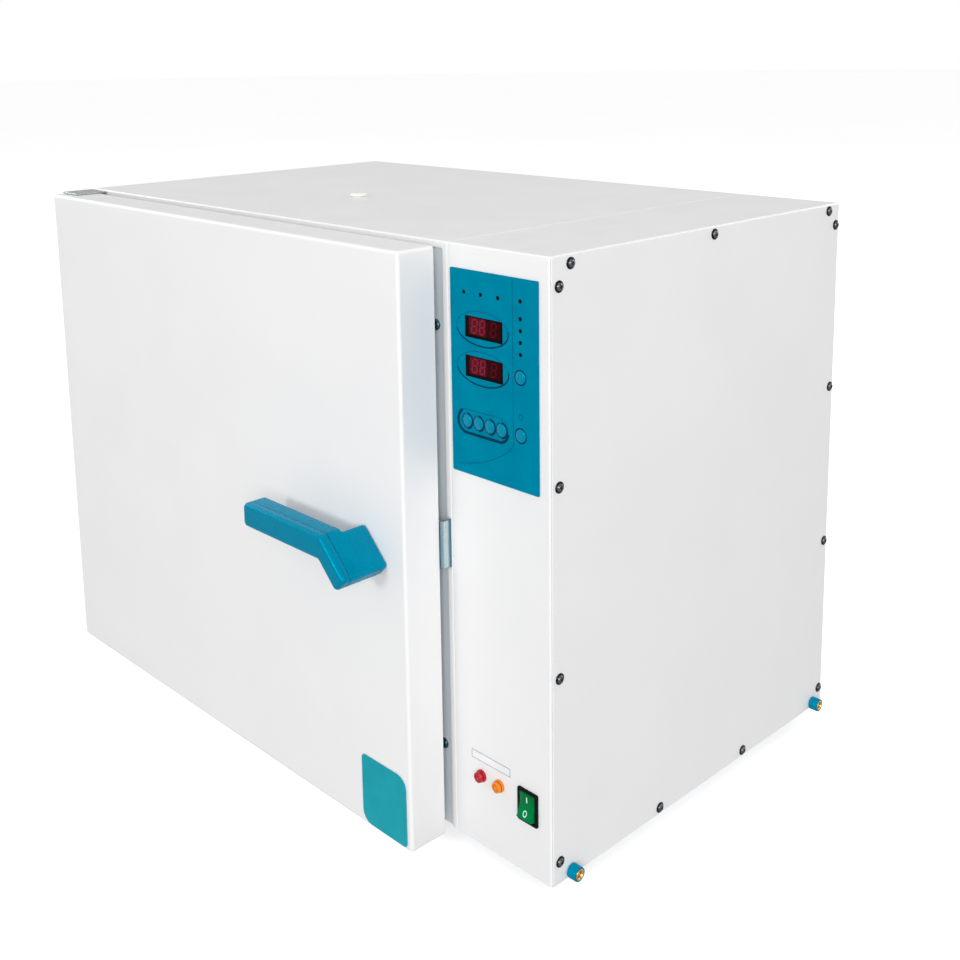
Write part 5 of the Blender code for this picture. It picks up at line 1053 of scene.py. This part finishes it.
def make_lamps():
    """Two neon lamps: a stepped collar, a groove, and a lens with a dished nose; the groove and a ring on the nose get
    a darker red or amber as painted shade.
    """
    for name, finish, deep in (
        ("red_lamp", RED_LENS, RED_LENS_PAINTED_SHADE), ("amber_lamp", AMBER_LENS, AMBER_LENS_PAINTED_SHADE),
    ):
        low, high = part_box(name)
        centre = (low + high) / 2
        radius = (high.x - low.x) / 2 * LAMP_SHARE
        proud = CORNER.y - low.y
        profile = [
            (0, proud * 0.74), (radius * 0.30, proud * 0.75), (radius * 0.44, proud * 0.82),
            (radius * 0.55, proud * 0.96), (radius * 0.62, proud), (radius * 0.74, proud),
            (radius * 0.82, proud * 0.95), (radius * 0.86, proud * 0.86), (radius * 0.87, proud * 0.56),
            (radius * 0.76, proud * 0.50), (radius * 0.76, proud * 0.41), (radius * 0.93, proud * 0.39),
            (radius * 0.99, proud * 0.34), (radius, proud * 0.26), (radius, 0.0001), (0, 0.0001),
        ]
        build = turned_build(profile, 48)
        set_upright(build, (centre.x, CORNER.y, centre.z))
        mesh = finished_mesh(name + "_lens", build, 40)
        mesh.materials.append(finish)
        mesh.materials.append(deep)
        # Faces in the groove and on a ring of the nose take the darker lens colour as painted shade
        for face in mesh.polygons:
            rise = (CORNER.y - face.center.y) / proud
            across = math.hypot(face.center.x - centre.x, face.center.z - centre.z) / radius
            in_groove = LAMP_GROOVE[0] < rise < LAMP_GROOVE[1]
            in_nose = rise > LAMP_GROOVE[1] and LAMP_NOSE[0] < across < LAMP_NOSE[1]
            face.material_index = 1 if in_groove or in_nose else 0
        new_piece(name + "_lens", mesh, finish, "cabinet", [name])


def rocker_face(up):
    """How far the rocker's dished face lies behind its crests, at a height from its middle."""
    share = min(abs(up) / ROCKER_REACH, 1)
    return (ROCKER_CREST - ROCKER_VALLEY) * (1 - share**1.3)


def rocker_frame():
    """The bezel's front, and the turn that takes the level rocker to its place at rest."""
    low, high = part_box("rocker_bezel")
    middle = (low + high) / 2
    pivot = Vector((middle.x, low.y + ROCKER_PIVOT_BEHIND, middle.z))
    return low.y, Matrix.Translation(pivot) @ Matrix.Rotation(-ROCKER_TILT, 4, "X")


def make_rocker():
    """The rocker with its dished face, and its marks: a bar above and a ring below."""
    front, rest = rocker_frame()
    crest = -ROCKER_CREST - ROCKER_PIVOT_BEHIND
    steps = 20
    face = []
    for step in range(steps + 1):
        up = ROCKER_REACH * (1 - 2 * step / steps)
        face.append((crest + rocker_face(up), up))
    heel = ROCKER_REACH + 0.0012
    outline = face + [(ROCKER_HEEL, -heel), (ROCKER_HEEL + 0.003, 0), (ROCKER_HEEL, heel)]
    rings = []
    for across in (-ROCKER_HALF_WIDTH, ROCKER_HALF_WIDTH):
        rings.append([Vector((across, depth, up)) for depth, up in outline])
    mesh = softened("rocker_fine", finished_mesh("rocker_fine", loft_build(rings), 30), ROCKER_EDGE, 3, 50)
    mesh.transform(rest)
    new_piece("rocker_fine", mesh, GREEN_LENS, "rocker", ["rocker"])

    build = bmesh.new()
    ring = [(ROCKER_RING_OUTER, ROCKER_RING_INNER), 28, ROCKER_RING_HEIGHT]
    outer, inner = ring[0]
    loops = []
    for radius in (outer, inner):
        for lift in (ROCKER_INK, -ROCKER_INK):
            loop = []
            for step in range(ring[1]):
                angle = 2 * math.pi * step / ring[1]
                across, up = radius * math.cos(angle) * 0.8, ring[2] + radius * math.sin(angle)
                loop.append(build.verts.new((across, crest + rocker_face(up) - lift, up)))
            loops.append(loop)
    order = (loops[0], loops[2], loops[3], loops[1])
    for first, second in zip(order, order[1:] + order[:1]):
        for index in range(ring[1]):
            after = (index + 1) % ring[1]
            build.faces.new((first[index], first[after], second[after], second[index]))
    half = ROCKER_BAR_WIDTH / 2
    bar_rows = []
    for step in range(9):
        up = ROCKER_BAR_LOW + (ROCKER_BAR_HIGH - ROCKER_BAR_LOW) * step / 8
        depth = crest + rocker_face(up)
        corners = ((-half, -ROCKER_INK), (half, -ROCKER_INK), (half, ROCKER_INK), (-half, ROCKER_INK))
        bar_rows.append([build.verts.new((across, depth + lift, up)) for across, lift in corners])
    for first, second in zip(bar_rows, bar_rows[1:]):
        for index in range(4):
            after = (index + 1) % 4
            build.faces.new((first[index], first[after], second[after], second[index]))
    build.faces.new(bar_rows[0])
    build.faces.new(bar_rows[-1])
    bmesh.ops.recalc_face_normals(build, faces=build.faces)
    mesh = finished_mesh("rocker_marks", build)
    mesh.transform(rest)
    new_piece("rocker_marks", mesh, WHITE_INK, "rocker")


def make_bezel():
    """The switch's bezel: a rounded rim round a deep well."""
    low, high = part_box("rocker_bezel")
    middle = (low + high) / 2
    centre = (middle.x, middle.z)
    back = CORNER.y - 0.0002
    sizes = [(0, back)]
    for inset, rise in rim_rounding(BEZEL_ROUND, BEZEL_ROUND, 5):
        sizes.append((inset, low.y + BEZEL_ROUND - rise))
    rings = []
    for inset, depth in sizes:
        outline = rounded_rectangle(BEZEL_HALF[0] - inset, BEZEL_HALF[1] - inset, BEZEL_CORNER - inset * 0.9)
        rings.append(upright_ring(outline, depth, centre))
    for grown, depth in ((0.0004, low.y), (0, low.y + 0.0004), (0, low.y + WELL_DEPTH)):
        outline = rounded_rectangle(WELL_HALF[0] + grown, WELL_HALF[1] + grown, 0.0006)
        rings.append(upright_ring(outline, depth, centre))
    mesh = finished_mesh("rocker_bezel_fine", loft_build(rings), 40)
    new_piece("rocker_bezel_fine", mesh, BLACK_PLASTIC, "cabinet", ["rocker_bezel"])


# Posts


def make_posts():
    """Two short posts, each with a threaded brass insert in its end."""
    for side in ("front", "rear"):
        low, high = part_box(side + "_post")
        insert_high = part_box(side + "_post_insert")[1]
        insert_radius = (insert_high.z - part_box(side + "_post_insert")[0].z) / 2
        middle = (low + high) / 2
        radius = (high.z - low.z) / 2
        length = high.x - low.x
        edge = 0.0006
        bore = insert_radius + 0.0001
        profile = [
            (bore, length - 0.0015), (bore, length - edge / 2), (bore + edge / 2, length), (radius - edge, length),
            (radius - edge * 0.3, length - edge * 0.3), (radius, length - edge), (radius, edge),
            (radius - edge, 0), (0, 0),
        ]
        build = turned_build([(0, length - 0.0015), *profile], 48)
        bmesh.ops.rotate(build, verts=build.verts, matrix=Matrix.Rotation(math.radians(90), 3, "Y"))
        bmesh.ops.translate(build, verts=build.verts, vec=(low.x, middle.y, middle.z))
        mesh = finished_mesh(side + "_post_fine", build, 40)
        new_piece(side + "_post_fine", mesh, TEAL_PLASTIC, "cabinet", [side + "_post"])

        end = insert_high.x - low.x
        thread = insert_radius * THREAD_BORE_SHARE
        profile = [(0, end - THREAD_LENGTH)]
        for turn in range(THREAD_TURNS, 0, -1):
            start = end - THREAD_LENGTH * turn / THREAD_TURNS
            pitch = THREAD_LENGTH / THREAD_TURNS
            profile.append((thread, start + pitch * 0.25))
            profile.append((thread * 1.1, start + pitch * 0.75))
        profile += [
            (thread * 1.12, end - 0.0002), (thread * 1.2, end), (insert_radius - 0.0003, end),
            (insert_radius, end - 0.0003), (insert_radius, end - 0.0018), (0, end - 0.0018),
        ]
        build = turned_build(profile, 40)
        bmesh.ops.recalc_face_normals(build, faces=build.faces)
        bmesh.ops.rotate(build, verts=build.verts, matrix=Matrix.Rotation(math.radians(90), 3, "Y"))
        bmesh.ops.translate(build, verts=build.verts, vec=(low.x, middle.y, middle.z))
        mesh = finished_mesh(side + "_insert_fine", build, 30)
        new_piece(side + "_insert_fine", mesh, BRASS, "cabinet", [side + "_post_insert"])


# Control column


def arc(centre, half, start=0, end=360):
    """Points along an ellipse from one angle to another, both in degrees, without the last of a full turn."""
    face = MEMBRANE_LOW.y
    x, z = CORNER.x + centre[0], CORNER.z + centre[1]
    steps = max(8, round((end - start) / 5))
    count = steps if end - start == 360 else steps + 1
    path = []
    for step in range(count):
        angle = math.radians(start + (end - start) * step / steps)
        path.append(Vector((x + half[0] * math.cos(angle), face, z + half[1] * math.sin(angle))))
    return path


def tray_path(start, end):
    """The oblong tray's outline with round ends, between two shares of its way round from the top right."""
    radius = (TRAY_HIGH[1] - TRAY_LOW[1]) / 2
    middle = (TRAY_LOW[1] + TRAY_HIGH[1]) / 2
    left = arc((TRAY_LOW[0] + radius, middle), (radius, radius), 90, 270)
    right = arc((TRAY_HIGH[0] - radius, middle), (radius, radius), 270, 450)
    outline = left + right
    count = len(outline)
    return [outline[index % count] for index in range(round(start * count), round(end * count) + 1)]


def divider_path(steps=6):
    """The line beside the displays, which turns away to the left at its foot in a wide arc."""
    face = MEMBRANE_LOW.y
    knots = [Vector((DIVIDER_X, MEMBRANE_HIGH.z - CORNER.z)), *(Vector(knot) for knot in DIVIDER_KNOTS)]
    knots = [knots[0] * 2 - knots[1], *knots, knots[-1] * 2 - knots[-2]]
    path = []
    for before, start, end, after in zip(knots, knots[1:], knots[2:], knots[3:]):
        for step in range(steps):
            t = step / steps
            point = 0.5 * (
                start * 2 + (end - before) * t + (before * 2 - start * 5 + end * 4 - after) * t**2
                + (start * 3 - before - end * 3 + after) * t**3
            )
            path.append(Vector((CORNER.x + point.x, face, CORNER.z + point.y)))
    path.append(Vector((CORNER.x + knots[-2].x, face, CORNER.z + knots[-2].y)))
    return path


def make_membrane_relief():
    """The raised lines of the membrane, painted darker than the film as their shade: fine where they face up, broad
    and darkest where they face down, with painted shade round the keys.
    """
    fine = [(arc(place, OVAL_HALF), True) for place in OVAL_PLACES]
    fine.append((divider_path(), False))
    fine.append((arc(KEY_RING_PLACE, (KEY_RING_RADIUS, KEY_RING_RADIUS)), True))
    fine.append((tray_path(0, 1), False))
    broad = [(arc(place, OVAL_HALF, *OVAL_SHADE), False) for place in OVAL_PLACES]
    deep = [(tray_path(*TRAY_SHADE), False)]
    shade_rings = []
    crescents = []
    for name in KEYS:
        low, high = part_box(name)
        skirt = (high.x - low.x) / 2
        centre = key_centre(name)
        fine.append((arc(centre, (skirt + EMBOSS_RADIUS / 2,) * 2), True))
        # Painted shade round the keys: a full dark ring round each single key, and a dark crescent on the right of
        # each of the four keys
        if name in SINGLE_KEYS:
            shade_rings.append((arc(centre, (skirt * KEY_CAP_SHARE + KEY_SHADE_RING_THICKNESS,) * 2), True))
        else:
            crescents.append((arc(centre, (skirt * KEY_CAP_SHARE + KEY_SHADE_THICKNESS,) * 2, *KEY_SHADE), False))
    for name, paths, radius, finish in (
        ("membrane_relief", fine, EMBOSS_RADIUS, TEAL_RIDGE_PAINTED_SHADE), ("membrane_shade", broad, SHADE_RADIUS, TEAL_PAINTED_SHADE),
        ("key_tray_rim", deep, TRAY_RIM_RADIUS, TEAL_PAINTED_SHADE), ("key_collars", shade_rings, KEY_SHADE_RING_THICKNESS, TEAL_PAINTED_SHADE),
        ("key_crescents", crescents, KEY_SHADE_THICKNESS, TEAL_PAINTED_SHADE),
    ):
        mesh = sweep(name, paths, radius, 0.5, finish)
        new_piece(name, mesh, finish, "cabinet")


def key_centre(name):
    low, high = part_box(name)
    return (low.x + high.x) / 2 - CORNER.x, (low.z + high.z) / 2 - CORNER.z


def make_indicator_dots():
    profile = [(0, 0.00012), (DOT_RADIUS * 0.7, 0.0001), (DOT_RADIUS, 0.00003), (DOT_RADIUS, -0.0002), (0, -0.0002)]
    stamp = finished_mesh("dot", turned_build(profile, 20))
    places = [Vector((CORNER.x + x, MEMBRANE_LOW.y, CORNER.z + z)) for x, z in DOT_PLACES]
    turns = [(math.radians(90), 0, 0)] * len(places)
    mesh = scatter("indicator_dots", stamp, places, turns, DARK_LENS)
    new_piece("indicator_dots", mesh, DARK_LENS, "cabinet")


def segment_mesh():
    """One bar of a digit, pointed at both ends, that lies along X and faces -Y."""
    half = (DIGIT_WIDTH - SEGMENT_WIDTH) / 2 - SEGMENT_GAP
    thick = SEGMENT_WIDTH / 2
    outline = [
        (-half, 0), (-half + thick, -thick), (half - thick, -thick),
        (half, 0), (half - thick, thick), (-half + thick, thick),
    ]
    build = bmesh.new()
    front = [build.verts.new((x, -SEGMENT_SHEET, z)) for x, z in outline]
    back = [build.verts.new((x, SEGMENT_SHEET, z)) for x, z in outline]
    build.faces.new(front)
    build.faces.new(list(reversed(back)))
    for index in range(len(outline)):
        after = (index + 1) % len(outline)
        build.faces.new((front[after], front[index], back[index], back[after]))
    bmesh.ops.recalc_face_normals(build, faces=build.faces)
    return finished_mesh("segment", build)


def make_filters():
    """The thin flange round each display, and its red filter, a little smaller than the black module behind it."""
    build = bmesh.new()
    flanges = bmesh.new()
    for name in ("upper_display", "lower_display"):
        low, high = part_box(name)
        box_into(
            flanges,
            (low.x - FLANGE_SPARE, low.y + FILTER_SHEET, low.z - FLANGE_SPARE),
            (high.x + FLANGE_SPARE, low.y + FILTER_SHEET * 4, high.z + FLANGE_SPARE),
        )
        box_into(
            build,
            (low.x + FILTER_LEFT, low.y - FILTER_SHEET, low.z + FILTER_BOTTOM),
            (high.x - FILTER_RIGHT, low.y + FILTER_SHEET, high.z - FILTER_TOP),
        )
    mesh = finished_mesh("display_flanges", flanges)
    new_piece("display_flanges", mesh, DISPLAY_FRAME, "cabinet")
    mesh = finished_mesh("display_filters", build)
    new_piece("display_filters", mesh, RED_FILTER, "cabinet")


def make_digits():
    """Three unlit seven-bar digits on each display's filter."""
    lean = 0.12
    half_height = (DIGIT_HEIGHT - SEGMENT_WIDTH) / 2
    half_width = (DIGIT_WIDTH - SEGMENT_WIDTH) / 2
    upright = math.radians(90)
    bars = [
        (0, half_height, 0), (0, 0, 0), (0, -half_height, 0),
        (-half_width, half_height / 2, upright), (half_width, half_height / 2, upright),
        (-half_width, -half_height / 2, upright), (half_width, -half_height / 2, upright),
    ]
    places = []
    turns = []
    for name in ("upper_display", "lower_display"):
        low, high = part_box(name)
        middle = (low.z + FILTER_BOTTOM + high.z - FILTER_TOP) / 2
        for share in DIGIT_PLACES:
            x = low.x + (high.x - low.x) * share
            for across, up, turn in bars:
                places.append(Vector((x + across + lean * up, low.y - FILTER_SHEET, middle + up)))
                turns.append((0, turn if turn == 0 else turn + math.atan(lean), 0))
    mesh = scatter("display_segments", segment_mesh(), places, turns, DIM_SEGMENT)
    new_piece("display_segments", mesh, DIM_SEGMENT, "cabinet")


def box_into(build, low, high):
    points = bmesh.ops.create_cube(build, size=1)["verts"]
    low, high = Vector(low), Vector(high)
    bmesh.ops.scale(build, vec=high - low, verts=points)
    bmesh.ops.translate(build, vec=(low + high) / 2, verts=points)


def make_blank_strip():
    """A blank laminated strip above the lamps, with a thin frame line."""
    low = on_cabinet(STRIP_LOW[0], -STRIP_SHEET, STRIP_LOW[1])
    high = on_cabinet(STRIP_HIGH[0], -0.00001, STRIP_HIGH[1])
    build = bmesh.new()
    box_into(build, low, high)
    mesh = finished_mesh("blank_strip", build)
    new_piece("blank_strip", mesh, WHITE_LAMINATE, "cabinet")
    build = bmesh.new()
    front, back = low.y - 0.00003, low.y + 0.00005
    for left, right, bottom, top in (
        (low.x, high.x, low.z, low.z + STRIP_LINE),
        (low.x, high.x, high.z - STRIP_LINE, high.z),
        (low.x, low.x + STRIP_LINE, low.z, high.z),
        (high.x - STRIP_LINE, high.x, low.z, high.z),
    ):
        box_into(build, (left, front, bottom), (right, back, top))
    mesh = finished_mesh("blank_strip_frame", build)
    new_piece("blank_strip_frame", mesh, DARK_INK, "cabinet")


# Stage


def make_camera():
    """The photograph's own viewpoint."""
    forward = Vector((
        math.sin(CAMERA_YAW) * math.cos(CAMERA_PITCH),
        math.cos(CAMERA_YAW) * math.cos(CAMERA_PITCH),
        -math.sin(CAMERA_PITCH),
    ))
    level = Vector((math.cos(CAMERA_YAW), -math.sin(CAMERA_YAW), 0))
    above = level.cross(forward)
    right = level * math.cos(CAMERA_ROLL) + above * math.sin(CAMERA_ROLL)
    up = above * math.cos(CAMERA_ROLL) - level * math.sin(CAMERA_ROLL)
    data = bpy.data.cameras.new("camera")
    data.sensor_width = 36
    data.lens = data.sensor_width * FOCAL_PIXELS / IMAGE_SIDE
    data.shift_y = (OPTICAL_HEIGHT - IMAGE_SIDE / 2) / IMAGE_SIDE
    data.clip_start = 0.05
    camera = bpy.data.objects.new("camera", data)
    bpy.context.scene.collection.objects.link(camera)
    turn = Matrix((right, up, -forward)).transposed().to_4x4()
    camera.matrix_world = Matrix.Translation(CORNER + CAMERA_PLACE) @ turn
    bpy.context.scene.camera = camera


def add_light(name, place, target, width, height, power, colour="#FFFFFF"):
    data = bpy.data.lights.new(name, "AREA")
    data.shape = "RECTANGLE"
    data.size = width
    data.size_y = height
    data.energy = power
    data.color = linear(colour)[:3]
    light = bpy.data.objects.new(name, data)
    bpy.context.scene.collection.objects.link(light)
    light.location = place
    light.rotation_mode = "QUATERNION"
    light.rotation_quaternion = (Vector(target) - Vector(place)).to_track_quat("-Z", "Y")


def seen_by_camera_alone(piece):
    """The backdrop and the floor are seen, but the lights alone shape the object."""
    piece.visible_diffuse = False
    piece.visible_glossy = False
    piece.visible_transmission = False
    piece.visible_shadow = False


def make_stage():
    """A pale floor and a white backdrop all round, under soft studio lights."""
    build = bmesh.new()
    bmesh.ops.create_grid(build, x_segments=1, y_segments=1, size=STAGE_REACH)
    floor = bpy.data.objects.new("floor", finished_mesh("floor", build))
    bpy.context.scene.collection.objects.link(floor)
    material, tree, shader, place = new_finish("pale_floor", 0.6, Emission_Strength=FLOOR_GLOW)
    shader.inputs["Emission Color"].default_value = linear("#FFFFFF")
    two_colours(tree, shader, grain(tree, place, 0.8), "#FFFFFF", "#FCFCFC")
    floor.data.materials.append(material)
    seen_by_camera_alone(floor)
    build = bmesh.new()
    bmesh.ops.create_uvsphere(build, u_segments=48, v_segments=24, radius=STAGE_REACH * 0.9)
    backdrop = bpy.data.objects.new("backdrop", finished_mesh("backdrop", build))
    bpy.context.scene.collection.objects.link(backdrop)
    material, tree, shader, place = new_finish("white_backdrop", 1.0, Emission_Strength=1.0, Specular_IOR_Level=0.0)
    shader.inputs["Emission Color"].default_value = linear("#FFFFFF")
    shader.inputs["Base Color"].default_value = linear("#000000")
    backdrop.data.materials.append(material)
    seen_by_camera_alone(backdrop)
    world = bpy.data.worlds.new("soft_studio")
    world.use_nodes = True
    background = world.node_tree.nodes["Background"]
    background.inputs["Color"].default_value = linear("#FFFFFF")
    background.inputs["Strength"].default_value = WORLD_GLOW
    bpy.context.scene.world = world
    for name, place, target, width, height, power in LIGHTS:
        add_light(name, place, target, width, height, power)
    bpy.context.scene.view_settings.view_transform = "Standard"


dress_cad_nodes()
refine_nodes()
make_screws()
make_handle()
make_buttons()
make_lamps()
make_bezel()
make_rocker()
make_posts()
make_membrane_relief()
make_indicator_dots()
make_filters()
make_digits()
make_blank_strip()
make_camera()
make_stage()
